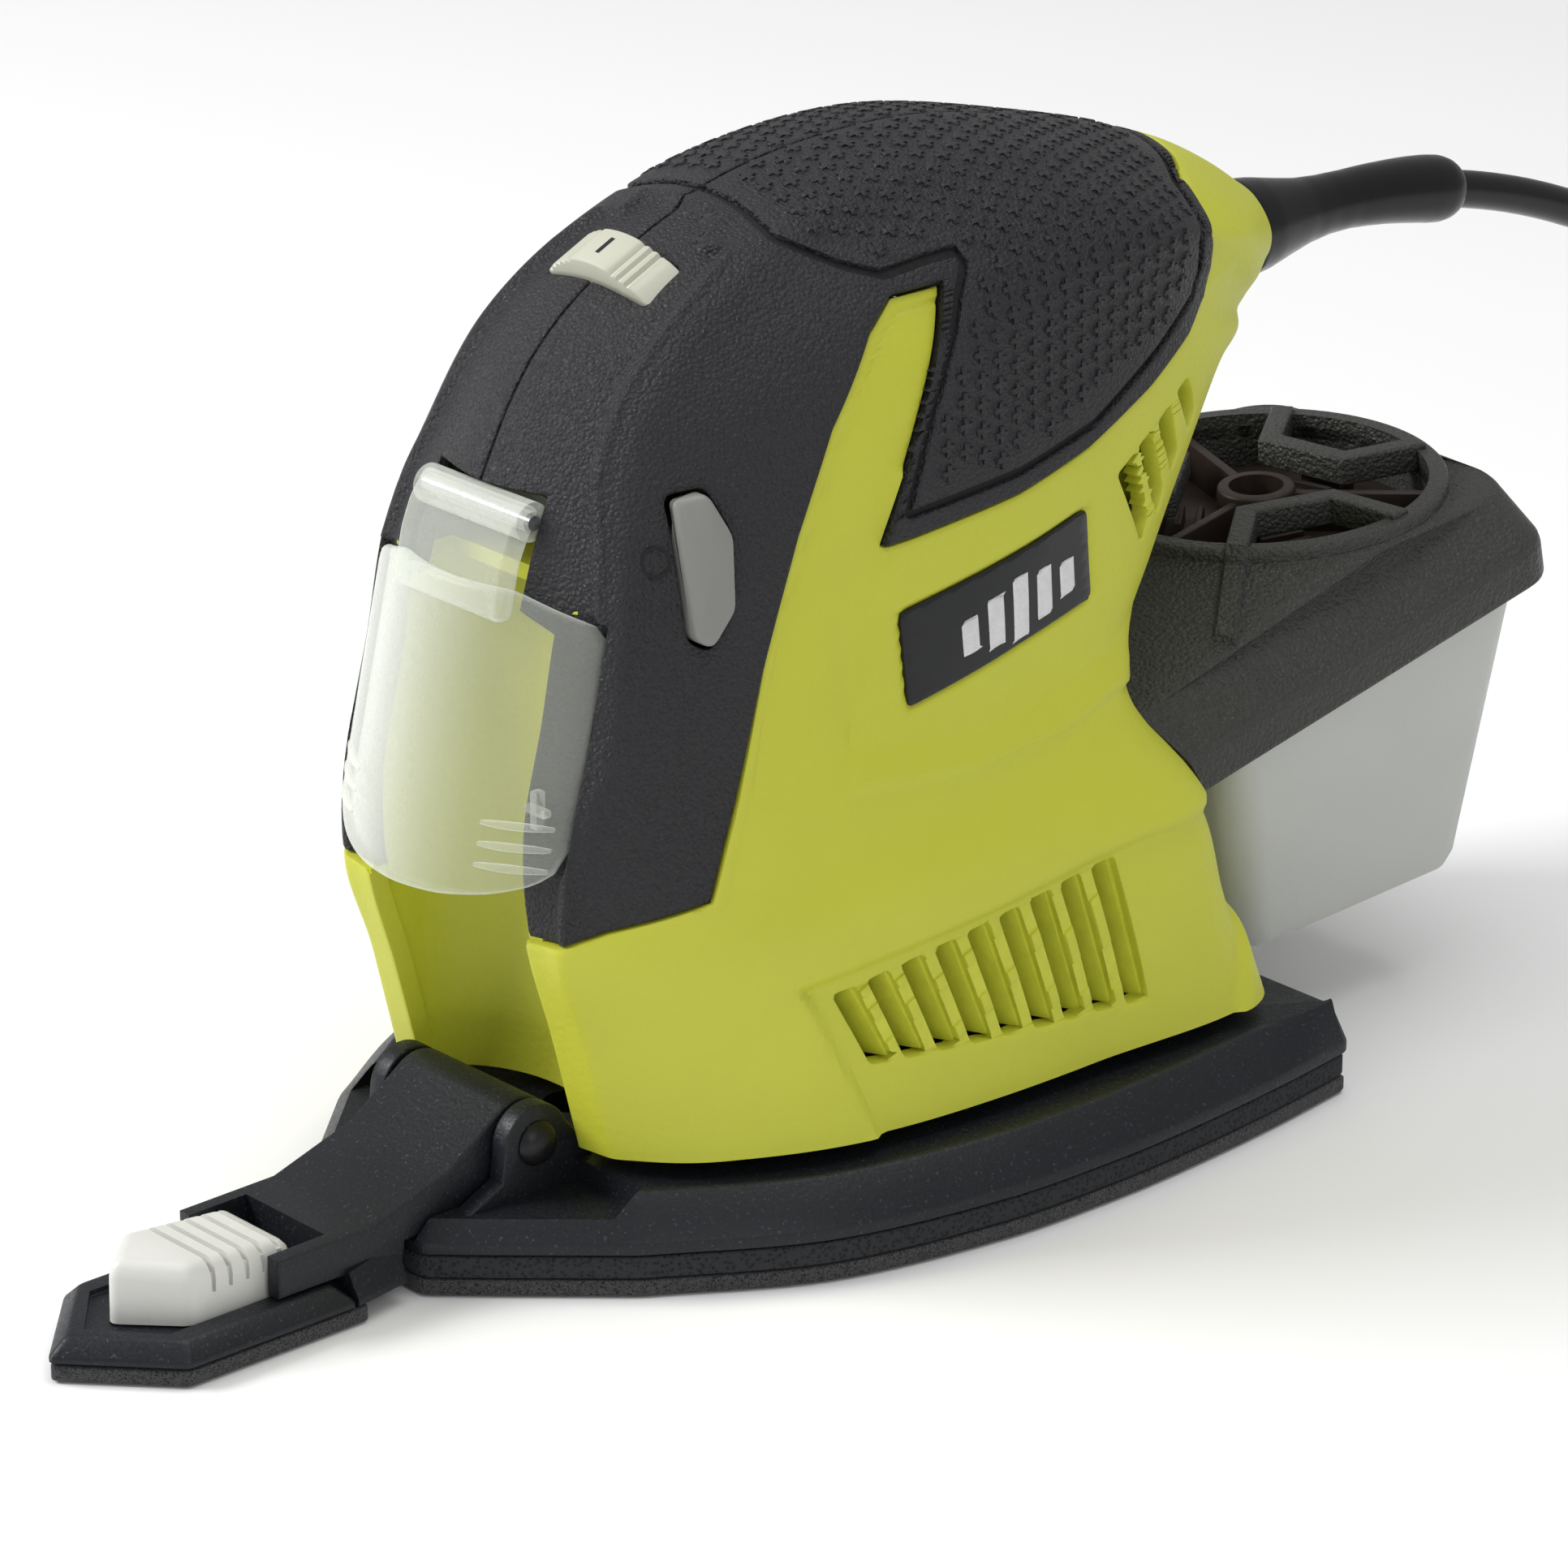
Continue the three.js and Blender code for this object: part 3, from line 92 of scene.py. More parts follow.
def weights(f):
    """Shares of four neighbouring points for a smooth curve through the middle two."""
    return (
        -0.5 * f + f**2 - 0.5 * f**3,
        1 - 2.5 * f**2 + 1.5 * f**3,
        0.5 * f + 2 * f**2 - 1.5 * f**3,
        -0.5 * f**2 + 0.5 * f**3,
    )


def skin(t, q):
    """Points of the skin: t counts stations upwards, q counts rails from front to back. Past the last
    station the skin closes over the tail, down to the cable's hole."""
    beyond = np.clip(t - LAST, 0, 1)[:, None]
    t = np.clip(t, 0, LAST - 1e-9)
    q = np.clip(q, 0, 7 - 1e-9)
    padded = np.concatenate([[2 * RAILS[0] - RAILS[1]], RAILS, [2 * RAILS[-1] - RAILS[-2]]])
    i = t.astype(int)
    rails = sum(w[:, None, None] * padded[i + k] for k, w in enumerate(weights(t - i)))
    other = rails * MIRROR
    rails = np.concatenate([other[:, 1:2], rails, other[:, 6:7]], axis=1)
    j = q.astype(int)
    row = np.arange(len(q))
    points = sum(w[:, None] * rails[row, j + k] for k, w in enumerate(weights(q - j)))
    angle = math.pi * q / 7
    across, up = TAIL_HOLE * np.sin(angle), TAIL_HOLE * np.cos(angle)
    rim = np.stack([across, np.full(len(q), TAIL_Y), TAIL_Z + up], 1)
    return points * (1 - beyond) + rim * beyond


def slopes(t, q, step=0.01):
    t0, t1 = np.clip(t - step, 0, LAST + 1), np.clip(t + step, 0, LAST + 1)
    q0, q1 = np.clip(q - step, 0, 7), np.clip(q + step, 0, 7)
    up = (skin(t1, q) - skin(t0, q)) / (t1 - t0)[:, None]
    around = (skin(t, q1) - skin(t, q0)) / (q1 - q0)[:, None]
    return up, around


def normals(t, q):
    up, around = slopes(t, q)
    normal = np.cross(around, up)
    return normal / np.maximum(np.linalg.norm(normal, axis=1), 1e-9)[:, None]


# ---------------------------------------------------------------- flat outlines
def grown(outline, distance):
    """A counter-clockwise outline moved outwards, with mitred corners."""
    points = np.array(outline, float)
    edges = np.roll(points, -1, 0) - points
    outward = np.stack([edges[:, 1], -edges[:, 0]], 1) / np.linalg.norm(edges, axis=1)[:, None]
    total = outward + np.roll(outward, 1, 0)
    return points + total * (2 * distance / (total**2).sum(1))[:, None]


def corner_arc(before, corner, after, radius, steps):
    """Points of a soft corner, from one edge to the next."""
    a, b = before - corner, after - corner
    la, lb = np.linalg.norm(a), np.linalg.norm(b)
    reach = min(radius, 0.45 * la, 0.45 * lb)
    start, end = corner + a / la * reach, corner + b / lb * reach
    shares = [k / steps for k in range(steps + 1)]
    return [(1 - f) ** 2 * start + 2 * f * (1 - f) * corner + f * f * end for f in shares]


def rounded(outline, radius, steps=4):
    """The outline with each corner turned into an arc."""
    points = [np.array(p, float) for p in outline]
    result = []
    for before, corner, after in zip(points[-1:] + points[:-1], points, points[1:] + points[:1]):
        result += corner_arc(before, corner, after, radius, steps)
    return np.array(result)


def depth_in(points, outline):
    """Signed distance of 2-D points to a closed outline, positive inside."""
    outline = np.array(outline, float)
    best = np.full(len(points), 1e9)
    inside = np.zeros(len(points), bool)
    for a, b in zip(outline, np.roll(outline, -1, 0)):
        edge = b - a
        rel = points - a
        f = np.clip(rel @ edge / (edge @ edge), 0, 1)
        best = np.minimum(best, np.linalg.norm(rel - f[:, None] * edge, axis=1))
        crosses = (a[1] > points[:, 1]) != (b[1] > points[:, 1])
        slope = np.where(b[1] == a[1], 1e9, edge[0] / (edge[1] if edge[1] else 1e-9))
        inside ^= crosses & (points[:, 0] < a[0] + (points[:, 1] - a[1]) * slope)
    return np.where(inside, best, -best)


def smooth_step(low, high, value):
    f = np.clip((value - low) / (high - low), 0, 1)
    return f * f * (3 - 2 * f)


# ---------------------------------------------------------------- regions of the housing
OVERMOULD = [
    (-95, 42.5), (-67, 50.5), (-58.5, 54.6), (-46.3, 58.2), (-40.8, 71.6), (-34.3, 89), (-26.4, 106.9),
    (-19.1, 120.6), (-10, 132.5), (-4.8, 136.6), (3.5, 137), (-2.6, 122.6), (-6, 114.8), (-11.9, 102.2),
    (-6.7, 102.5), (13.9, 104.5), (29.5, 107.6), (44.5, 112.4), (55.5, 117.2), (60.6, 121.5), (61.2, 126),
    (59.2, 132), (62.7, 138.1), (71, 139.3), (84, 165), (-95, 165),
]
GRIP_PAD = [
    (-7, 106.6), (14, 108.3), (30, 111.4), (46, 118.2), (55.6, 123.4), (56.6, 127), (55.2, 132),
    (58.6, 138.6), (67, 141), (78, 165), (-15.6, 165), (-15.6, 148.6), (-15.3, 147.7), (-16, 144.9),
    (-9.7, 141.3), (-4.7, 139.6), (2.3, 140.6), (7.9, 141), (8.7, 138.7), (5.8, 134.9), (-1.5, 120.2),
]
SWITCH_FACE = [(-44.6, 95.4), (-42.4, 94), (-38.5, 98.7), (-37.1, 109.2), (-39.3, 115), (-43.9, 114.4)]
MARK = (-47.4, 106.3)
BADGE = [(-9.6, 78.3), (29.2, 84.9), (28.5, 98.4), (-9.9, 92.1)]
NECK_VENTS = [
    [(36.6, 101.2), (43.1, 88.9), (45.4, 92.7), (43.4, 98.7), (41.2, 103.2)],
    [(42.2, 103.9), (48.1, 91.4), (49.6, 95.2), (48, 99.6), (46, 105.4)],
    [(47.6, 106), (51.9, 97.2), (54, 99.8), (53, 102.5), (51.2, 107.8)],
    [(53.1, 109.1), (57.6, 101.3), (59, 104.6), (58, 107.4), (56.4, 110.4)],
]
CASE_SCREWS = [(-39, 27), (41.5, 56), (33, 118), (-36, 88), (63, 115), (18, 140)]
SEAM = 0.15
GROOVE_WIDTH = 1.1
GAP = 0.12
NOTCH_HALF, NOTCH_TOP = 11.9, 114.2
DUST_HOLE_Z, DUST_HOLE_RADIUS = 38, 8.2
SWITCH_TRAVEL = 3.5
CAVITY_HALF, CAVITY_TOP = 17.5, 99
WALL = 2.4
DIAL_CENTRE = np.array([0, -27.5, 129.5])
DIAL_AXIS = np.array([0, math.cos(math.radians(24.9)), math.sin(math.radians(24.9))])
DIAL_RADIUS, DIAL_WIDTH = 15.0, 7.4


def side_vents():
    slots = []
    for i in range(9):
        share = i / 8
        top = np.array([-28 + 6.05 * i, 40.3 + 7.6 * share])
        bottom = np.array([-21.8 + 6.05 * i, 28.2 - 3.6 * share])
        slots.append([bottom, bottom + (4.1, -0.3), top + (4.1, 0.6), top])
    return slots


def outside(points, outline, where):
    """Distance to an opening, positive outside it; only counted where the mask holds."""
    found = np.full(len(points), 1e3)
    found[where] = -depth_in(points[where], outline)
    return found


def openings(p, side, ease=0.0):
    """Signed distance to the nearest edge of the shell: its seam, the cavity and all holes."""
    x, y, z = p.T
    yz, xz = p[:, 1:], p[:, [0, 2]]
    front = y < -40
    cavity = [(-CAVITY_HALF, -20), (CAVITY_HALF, -20), (CAVITY_HALF, 96), (11, 98.8), (-11, 98.8),
              (-CAVITY_HALF, 96)]
    notch = [(-NOTCH_HALF, 90), (NOTCH_HALF, 90), (NOTCH_HALF, NOTCH_TOP), (-NOTCH_HALF, NOTCH_TOP)]
    centred = p - DIAL_CENTRE
    axial = centred @ DIAL_AXIS
    radial = np.linalg.norm(centred - axial[:, None] * DIAL_AXIS, axis=1)
    dial = np.maximum(np.abs(axial) - DIAL_WIDTH / 2 - 0.5, radial - DIAL_RADIUS - 0.5)
    found = [
        x - SEAM,
        outside(xz, cavity, front),
        outside(xz, notch, front & (z > 85)),
        outside(yz, rounded(grown(SWITCH_FACE, 0.5 + ease), 1.2), x > 18),
        dial - ease,
        np.where((y > 40) & (z < 60), np.hypot(x, z - DUST_HOLE_Z) - DUST_HOLE_RADIUS, 1e3),
    ]
    for slot in side_vents():
        found.append(outside(yz, rounded(slot, 0.8), (x > 25) & (z < 55)))
    for slot in NECK_VENTS:
        found.append(outside(yz, rounded(slot, 0.8), x > 14))
    if side < 0:
        for cy, cz in CASE_SCREWS:
            found.append(np.where(x > 12, np.hypot(y - cy, z - cz) - 3.4, 1e3))
    return np.minimum.reduce(found)


# ---------------------------------------------------------------- relief of the skin
def front_band(p):
    """The flatter band down the middle of the front, edged by a crease on each side."""
    heights = [60, 98.7, 109.7, 116.7, 125, 132.7, 139.6, 143.2, 144.4]
    halves = [24, 23.3, 20.4, 17.5, 16.4, 15.9, 15, 13.4, 8.0]
    x, y, z = p.T
    edge = np.interp(z, heights, halves)
    return np.where(y < -8, np.minimum(edge - np.abs(x), -19.5 - y), -9)


def dark_relief(p):
    band = front_band(p)
    return -0.9 * smooth_step(-0.2, 1.1, band) + 0.4 * np.exp(-((band + 0.7) ** 2) / 0.4)


VENT_FIELD = [(-35.5, 43.4), (-33, 40), (-20, 14), (48, 8), (62, 52), (29.2, 51.2), (0, 47.2)]
PLINTH = [
    (-21.6, 69.3), (-16, 86), (-12.4, 99.7), (-8, 112), (70, 125), (70, 60), (31.4, 70.4), (17.5, 67.8),
    (1, 67),
]
STRIPE_EDGE = OVERMOULD[3:11]


def line_distance(points, line):
    """Distance of 2-D points to an open line."""
    best = np.full(len(points), 1e9)
    line = np.array(line, float)
    for a, b in zip(line, line[1:]):
        edge = b - a
        f = np.clip((points - a) @ edge / (edge @ edge), 0, 1)
        best = np.minimum(best, np.linalg.norm(points - a - f[:, None] * edge, axis=1))
    return best


def light_relief(p):
    y, z = p[:, 1], p[:, 2]
    yz = p[:, 1:]
    side = smooth_step(18, 30, p[:, 0])
    vents = -1.6 * smooth_step(-0.2, 1.8, depth_in(yz, VENT_FIELD))
    on_plinth = depth_in(yz, PLINTH)
    floor = np.interp(y, [-22, 1, 17.5, 31.4, 50], [69.3, 67, 67.8, 70.4, 76])
    width = np.where(on_plinth > 0, 5.0, 5.0 + 3.0 * np.clip(-on_plinth, 0, 8))
    neck = -1.5 * np.clip((z - floor) / width, 0, 1)
    plinth = 0.9 * smooth_step(-1.2, 1.0, np.minimum(on_plinth, 9)) * (z > floor - 2)
    shoulder_line = np.interp(y, [-60, -36, 15, 60], [49, 50.5, 55.5, 60])
    shoulder = 0.9 * smooth_step(9, 0, z - shoulder_line) * smooth_step(-12, 0, z - shoulder_line)
    pocket = -0.8 * smooth_step(-0.5, 0.7, depth_in(yz, rounded(grown(BADGE, 0.4), 1)))
    along = line_distance(yz, STRIPE_EDGE)
    lip = 0.3 * smooth_step(1.7, 1.2, along) - 0.25 * np.exp(-((along - 2.1) ** 2) / 0.12)
    return side * (vents + neck + plinth + shoulder + pocket) + lip * (z > 57)


# ---------------------------------------------------------------- seat of the flap
FLAP_OUTLINE = [
    (0, 58), (9, 58.3), (16, 59.4), (21, 61.2), (23.6, 63.6), (24, 67), (24, 97.5), (12, 101.6),
    (-12, 101.6), (-24, 97.5), (-24, 67), (-23.6, 63.6), (-21, 61.2), (-16, 59.4), (-9, 58.3),
]
HINGE = (-57, 110.5)
SEAT_DEPTH = 2.4


def flap_front(x, z):
    """The y of the flap's curved front face."""
    return -72.9 + (z - 65.4) * 0.2336 + x**2 / 60


def flap_seat(p):
    """How far the skin is pushed back so that the flap has room in front of it."""
    share = smooth_step(-0.3, 0.9, depth_in(p[:, [0, 2]], grown(FLAP_OUTLINE, 0.8)))
    push = np.maximum(flap_front(p[:, 0], p[:, 2]) + SEAT_DEPTH - p[:, 1], 0)
    return np.where(p[:, 1] < -40, share * push, 0)


# ---------------------------------------------------------------- panels cut out of the skin
def crossing(field, a, b):
    """The point between a (inside) and b (outside) where the field is zero."""
    low, high = np.zeros(len(a)), np.ones(len(a))
    for _ in range(9):
        mid = 0.5 * (low + high)
        inside = field(a + (b - a) * mid[:, None]) > 0
        low, high = np.where(inside, mid, low), np.where(inside, high, mid)
    return low


def sides_of(corners, value, extra):
    """The parts of a straddling triangle above and below the level, as vertex rings."""
    rings = {1: [], -1: []}
    for i, j in zip(corners, corners[1:] + corners[:1]):
        for sign in rings:
            if value[i] * sign >= 0:
                rings[sign].append(i)
            if value[i] * value[j] < 0:
                rings[sign].append(extra[(min(i, j), max(i, j))])
    return rings


def split(tq, triangles, locked, field, level):
    """The net with no triangle astride field = level. Vertices close to that line move onto it."""
    value = field(tq) - level
    value[np.abs(value) < 1e-6] = 0
    edges = np.concatenate([triangles[:, [0, 1]], triangles[:, [1, 2]], triangles[:, [2, 0]]])
    edges = np.unique(np.sort(edges, 1), axis=0)
    edges = edges[value[edges[:, 0]] * value[edges[:, 1]] < 0]
    flip = value[edges[:, 0]] < 0
    edges[flip] = edges[flip][:, ::-1]
    share = crossing(lambda at: field(at) - level, tq[edges[:, 0]], tq[edges[:, 1]])
    where = tq[edges[:, 0]] + (tq[edges[:, 1]] - tq[edges[:, 0]]) * share[:, None]
    ends = np.concatenate([edges[:, 0], edges[:, 1]])
    near = np.concatenate([share, 1 - share])
    spot = np.concatenate([where, where])
    order = np.argsort(-near)
    order = order[(near[order] < 0.4) & ~locked[ends[order]]]
    tq, locked = tq.copy(), locked.copy()
    tq[ends[order]] = spot[order]
    value[ends[order]] = 0
    locked[ends[order]] = True
    cut_edges = (value[edges[:, 0]] != 0) & (value[edges[:, 1]] != 0)
    extra = {tuple(sorted(e)): len(tq) + k for k, e in enumerate(edges[cut_edges].tolist())}
    tq = np.concatenate([tq, where[cut_edges]])
    value = np.concatenate([value, np.zeros(cut_edges.sum())])
    locked = np.concatenate([locked, np.ones(cut_edges.sum(), bool)])
    sign = np.sign(value)[triangles]
    astride = (sign > 0).any(1) & (sign < 0).any(1)
    pieces = []
    for corners in triangles[astride].tolist():
        for ring in sides_of(corners, value, extra).values():
            pieces += [(ring[0], ring[k], ring[k + 1]) for k in range(1, len(ring) - 1)]
    kept = [triangles[~astride]] + ([np.array(pieces)] if pieces else [])
    return tq, np.concatenate(kept), locked


def clipped_net(field, cell, levels):
    """Triangles of the (t, q) net where the field is positive, with vertex lines at each level."""
    nt, nq = int((LAST + 1) * 17 / cell), int(7 * 21 / cell)
    grid = np.meshgrid(np.linspace(0, LAST + 1, nt), np.linspace(0, 7, nq), indexing="ij")
    tq = np.stack([g.ravel() for g in grid], 1)
    index = np.arange(nt * nq).reshape(nt, nq)
    a, b, c, d = (g.ravel() for g in (index[:-1, :-1], index[:-1, 1:], index[1:, 1:], index[1:, :-1]))
    triangles = np.concatenate([np.stack([a, b, c], 1), np.stack([a, c, d], 1)])
    near = field(tq)[triangles].max(1) > -2
    triangles = triangles[near]
    locked = (tq[:, 0] <= 0) | (tq[:, 0] >= LAST + 1)
    for level in levels:
        tq, triangles, locked = split(tq, triangles, locked, field, level)
        if level == 0:
            triangles = triangles[field(tq[triangles].mean(1)) > 0]
    used, triangles = np.unique(triangles, return_inverse=True)
    return tq[used], triangles.reshape(-1, 3)


def edge_distance(field, tq, step=0.01):
    """The field turned into a distance along the skin."""
    value = field(tq)
    up, around = slopes(tq[:, 0], tq[:, 1])
    rise = []
    for axis in range(2):
        shift = np.zeros(2)
        shift[axis] = step
        rise.append((field(tq + shift) - field(tq - shift)) / (2 * step))
    uu, aa, ua = (up * up).sum(1), (around * around).sum(1), (up * around).sum(1)
    det = np.maximum(uu * aa - ua**2, 1e-6)
    steepness = (aa * rise[0] ** 2 - 2 * ua * rise[0] * rise[1] + uu * rise[1] ** 2) / det
    return value / np.clip(np.sqrt(np.maximum(steepness, 0)), 0.35, 3)


def panel(inside, side, cell=0.8, offset=0.0, thickness=WALL, edge=0.5, relief=None):
    """A closed plate that follows the skin: its outer face is the part of the skin where
    inside(points) is positive, with the edges rounded and a relief added."""

    def field(tq):
        return inside(skin(tq[:, 0], tq[:, 1]))

    levels = [0, 0.3 * edge, edge] if edge else [0]
    tq, triangles = clipped_net(field, cell * (1), levels)
    base = skin(tq[:, 0], tq[:, 1])
    normal = normals(tq[:, 0], tq[:, 1])
    lift = np.full(len(tq), float(offset))
    if relief:
        lift += relief(base)
    if edge:
        reach = np.clip(edge_distance(field, tq), 0, edge)
        lift -= edge - np.sqrt(np.maximum(edge**2 - (edge - reach) ** 2, 0))
    outer = base + normal * lift[:, None]
    inner = base + normal * (np.minimum(lift, offset) - thickness)[:, None]
    back = flap_seat(outer)
    outer[:, 1] += back
    inner[:, 1] += back
    count = len(tq)
    edges = np.concatenate([triangles[:, [0, 1]], triangles[:, [1, 2]], triangles[:, [2, 0]]])
    both, times = np.unique(np.sort(edges, 1), axis=0, return_counts=True)
    rim = {tuple(e) for e in both[times == 1].tolist()}
    walls = [(a, a + count, b + count, b) for a, b in edges.tolist() if (min(a, b), max(a, b)) in rim]
    faces = triangles.tolist() + (triangles[:, ::-1] + count).tolist() + walls
    part = np.concatenate([outer, inner]), faces
    return part if side > 0 else mirrored(part)


def mirrored(part):
    points, faces = part
    return points * MIRROR, [face[::-1] for face in faces]


# ---------------------------------------------------------------- meshes
def weld(mesh):
    """Removes the near-zero edges that cutting leaves behind."""
    work = bmesh.new()
    work.from_mesh(mesh)
    bmesh.ops.remove_doubles(work, verts=work.verts, dist=MERGE)
    work.to_mesh(mesh)
    work.free()


def make(name, parts, material, body, replaces=(), smooth=35):
    """One object from (points, faces) parts in millimetres."""
    points, faces, start = [], [], 0
    for part_points, part_faces in parts:
        points.append(np.asarray(part_points, float))
        faces += [[i + start for i in face] for face in part_faces]
        start += len(part_points)
    mesh = bpy.data.meshes.new(name)
    mesh.from_pydata((np.concatenate(points) * MM).tolist(), [], faces)
    mesh.validate()
    weld(mesh)
    mesh.shade_smooth()
    mesh.set_sharp_from_angle(angle=math.radians(smooth))
    mesh.materials.append(material)
    piece = bpy.data.objects.new(name, mesh)
    bpy.context.scene.collection.objects.link(piece)
    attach(piece, body)
    if replaces:
        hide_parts(*replaces)
    return piece


# ---------------------------------------------------------------- materials
def colour(r, g, b):
    """A colour given as it looks on screen, 0 to 255, as linear light."""
    parts = [c / 255 for c in (r, g, b)]
    return tuple(c / 12.92 if c <= 0.04045 else ((c + 0.055) / 1.055) ** 2.4 for c in parts)


DARK = 70


class Finish:
    """A node material being put together around one Principled shader."""

    def __init__(self, name, rgb, roughness, metallic=0.0):
        self.material = bpy.data.materials.new(name)
        self.material.use_nodes = True
        self.tree = self.material.node_tree
        self.shader = self.tree.nodes["Principled BSDF"]
        self.shader.inputs["Metallic"].default_value = metallic
        self.shader.inputs["Roughness"].default_value = roughness
        if max(rgb) < DARK:
            self.shader.inputs["Specular IOR Level"].default_value = 0.32
        self.coords = self.tree.nodes.new("ShaderNodeTexCoord").outputs["Object"]
        self.rgb = (*colour(*rgb), 1)
        self.shader.inputs["Base Color"].default_value = self.rgb

    def feed(self, socket, value):
        """Gives a socket a number or colour, or links it to another node's output."""
        if hasattr(value, "is_output"):
            self.tree.links.new(value, socket)
        else:
            socket.default_value = value

    def node(self, kind, **inputs):
        node = self.tree.nodes.new("ShaderNode" + kind)
        for key, value in inputs.items():
            self.feed(node.inputs[key.replace("_", " ")], value)
        return node

    def link(self, output, name):
        self.tree.links.new(output, self.shader.inputs[name])

    def noise(self, size, detail=2.0, distortion=0.0, roughness=0.5):
        """Noise whose grains are about this many millimetres across."""
        node = self.node("TexNoise", Vector=self.coords, Scale=1000 / size, Detail=detail,
                         Distortion=distortion, Roughness=roughness)
        return node.outputs[0]

    def cells(self, size):
        return self.node("TexVoronoi", Vector=self.coords, Scale=1000 / size).outputs["Distance"]

    def maths(self, operation, a, b=0.0, clamp=False):
        node = self.tree.nodes.new("ShaderNodeMath")
        node.operation = operation
        node.use_clamp = clamp
        for socket, value in zip(node.inputs, (a, b)):
            self.feed(socket, value)
        return node.outputs[0]

    def spread(self, value, low, high, to_low=0.0, to_high=1.0):
        node = self.node("MapRange", Value=value)
        for name, number in zip(("From Min", "From Max", "To Min", "To Max"), (low, high, to_low, to_high)):
            node.inputs[name].default_value = number
        return node.outputs[0]

    def mix(self, factor, a, b):
        node = self.tree.nodes.new("ShaderNodeMix")
        node.data_type = "RGBA"
        for index, value in zip((0, 6, 7), (factor, a, b)):
            self.feed(node.inputs[index], value)
        return node.outputs[2]

    def shade(self, amount):
        """The base colour made lighter or darker by a factor."""
        return (*[min(1.0, c * amount) for c in self.rgb[:3]], 1)

    def mottle(self, size, amount):
        """Slight unevenness of colour."""
        mixed = self.mix(self.noise(size, 3), self.shade(1 - amount), self.shade(1 + amount))
        self.link(mixed, "Base Color")
        return mixed

    def bump(self, height, depth):
        node = self.node("Bump", Height=height, Strength=1.0, Distance=depth * MM)
        self.link(node.outputs[0], "Normal")

    def rub(self, base, amount, tint=1.5):
        """Edges worn a little lighter."""
        geometry = self.tree.nodes.new("ShaderNodeNewGeometry")
        edge = self.spread(geometry.outputs["Pointiness"], 0.53, 0.62, 0, amount)
        patch = self.spread(self.noise(2.5, 3), 0.35, 0.7)
        self.link(self.mix(self.maths("MULTIPLY", edge, patch), base, self.shade(tint)), "Base Color")

    def sheen_of(self, low, high, size=1.0):
        self.link(self.spread(self.noise(size, 3), 0.3, 0.7, low, high), "Roughness")


def leather_plastic(name, rgb, roughness, grain, depth, mottle=0.08, wear=0.25):
    """Moulded plastic or rubber with a leather grain: rounded cells with wrinkles between them."""
    finish = Finish(name, rgb, roughness)
    cells = finish.cells(grain * 1.3)
    wrinkles = finish.noise(grain, 3, 0.6)
    cells, wrinkles = finish.maths("MULTIPLY", cells, -1.1), finish.maths("MULTIPLY", wrinkles, 1.3)
    finish.bump(finish.maths("ADD", cells, wrinkles), depth)
    base = finish.mottle(14, mottle)
    finish.rub(base, wear)
    finish.sheen_of(roughness - 0.06, roughness + 0.08, 0.8)
    return finish.material


def satin_plastic(name, rgb, roughness, grain=0.35, depth=0.02, mottle=0.05, wear=0.15):
    """Moulded plastic with a fine spark-eroded texture."""
    finish = Finish(name, rgb, roughness)
    finish.bump(finish.noise(grain, 4), depth)
    base = finish.mottle(20, mottle)
    finish.rub(base, wear, 1.25)
    finish.sheen_of(roughness - 0.05, roughness + 0.05, 1.5)
    return finish.material


def speckled_plastic(name, rgb, roughness):
    """Glass-filled plastic: a dark body with pale and bluish specks."""
    finish = Finish(name, rgb, roughness)
    base = finish.mottle(18, 0.12)
    specks = finish.spread(finish.noise(0.55, 2), 0.64, 0.72)
    base = finish.mix(finish.maths("MULTIPLY", specks, 0.3), base, (*colour(92, 100, 112), 1))
    finish.link(base, "Base Color")
    height = finish.maths("ADD", finish.noise(0.6, 3), finish.maths("MULTIPLY", specks, 0.4))
    finish.bump(height, 0.07)
    finish.sheen_of(roughness - 0.1, roughness + 0.08, 0.6)
    return finish.material


def metal(name, rgb, roughness, size=0.5, stretch=(1, 1, 1)):
    finish = Finish(name, rgb, roughness, 1.0)
    mapping = finish.node("Mapping", Vector=finish.coords)
    mapping.inputs["Scale"].default_value = stretch
    finish.coords = mapping.outputs[0]
    finish.mottle(6, 0.12)
    finish.bump(finish.noise(size, 3), 0.015)
    finish.sheen_of(roughness - 0.08, roughness + 0.1, size * 3)
    return finish.material


def clear_plastic(name, rgb, roughness, opacity):
    """Clear moulding frosted by its texture: seen through face on, white along its edges."""
    finish = Finish(name, rgb, roughness)
    facing = finish.node("LayerWeight", Blend=0.35).outputs["Facing"]
    finish.link(finish.spread(facing, 0.1, 0.9, opacity, 0.8), "Alpha")
    finish.bump(finish.noise(0.45, 3, 0.3), 0.05)
    finish.sheen_of(roughness - 0.06, roughness + 0.08, 2.0)
    return finish.material


def milky_plastic(name, rgb):
    """Translucent polypropylene, which lets light through but no picture."""
    finish = Finish(name, rgb, 0.42)
    finish.shader.inputs["Transmission Weight"].default_value = 0.45
    finish.shader.inputs["Subsurface Weight"].default_value = 0.4
    finish.shader.inputs["Subsurface Radius"].default_value = (0.006, 0.006, 0.006)
    finish.bump(finish.noise(1.4, 3), 0.03)
    finish.mottle(12, 0.03)
    return finish.material


def foam_rubber(name, rgb):
    finish = Finish(name, rgb, 0.95)
    pore_depth_and_shade = finish.spread(finish.cells(0.7), 0.05, 0.5)
    finish.bump(pore_depth_and_shade, 0.25)
    # Painted shade: the colour is darkened in the pores, where shade falls inside them, and the foam between
    # them is a little lighter.
    finish.link(finish.mix(pore_depth_and_shade, finish.shade(0.4), finish.shade(1.2)), "Base Color")
    return finish.material


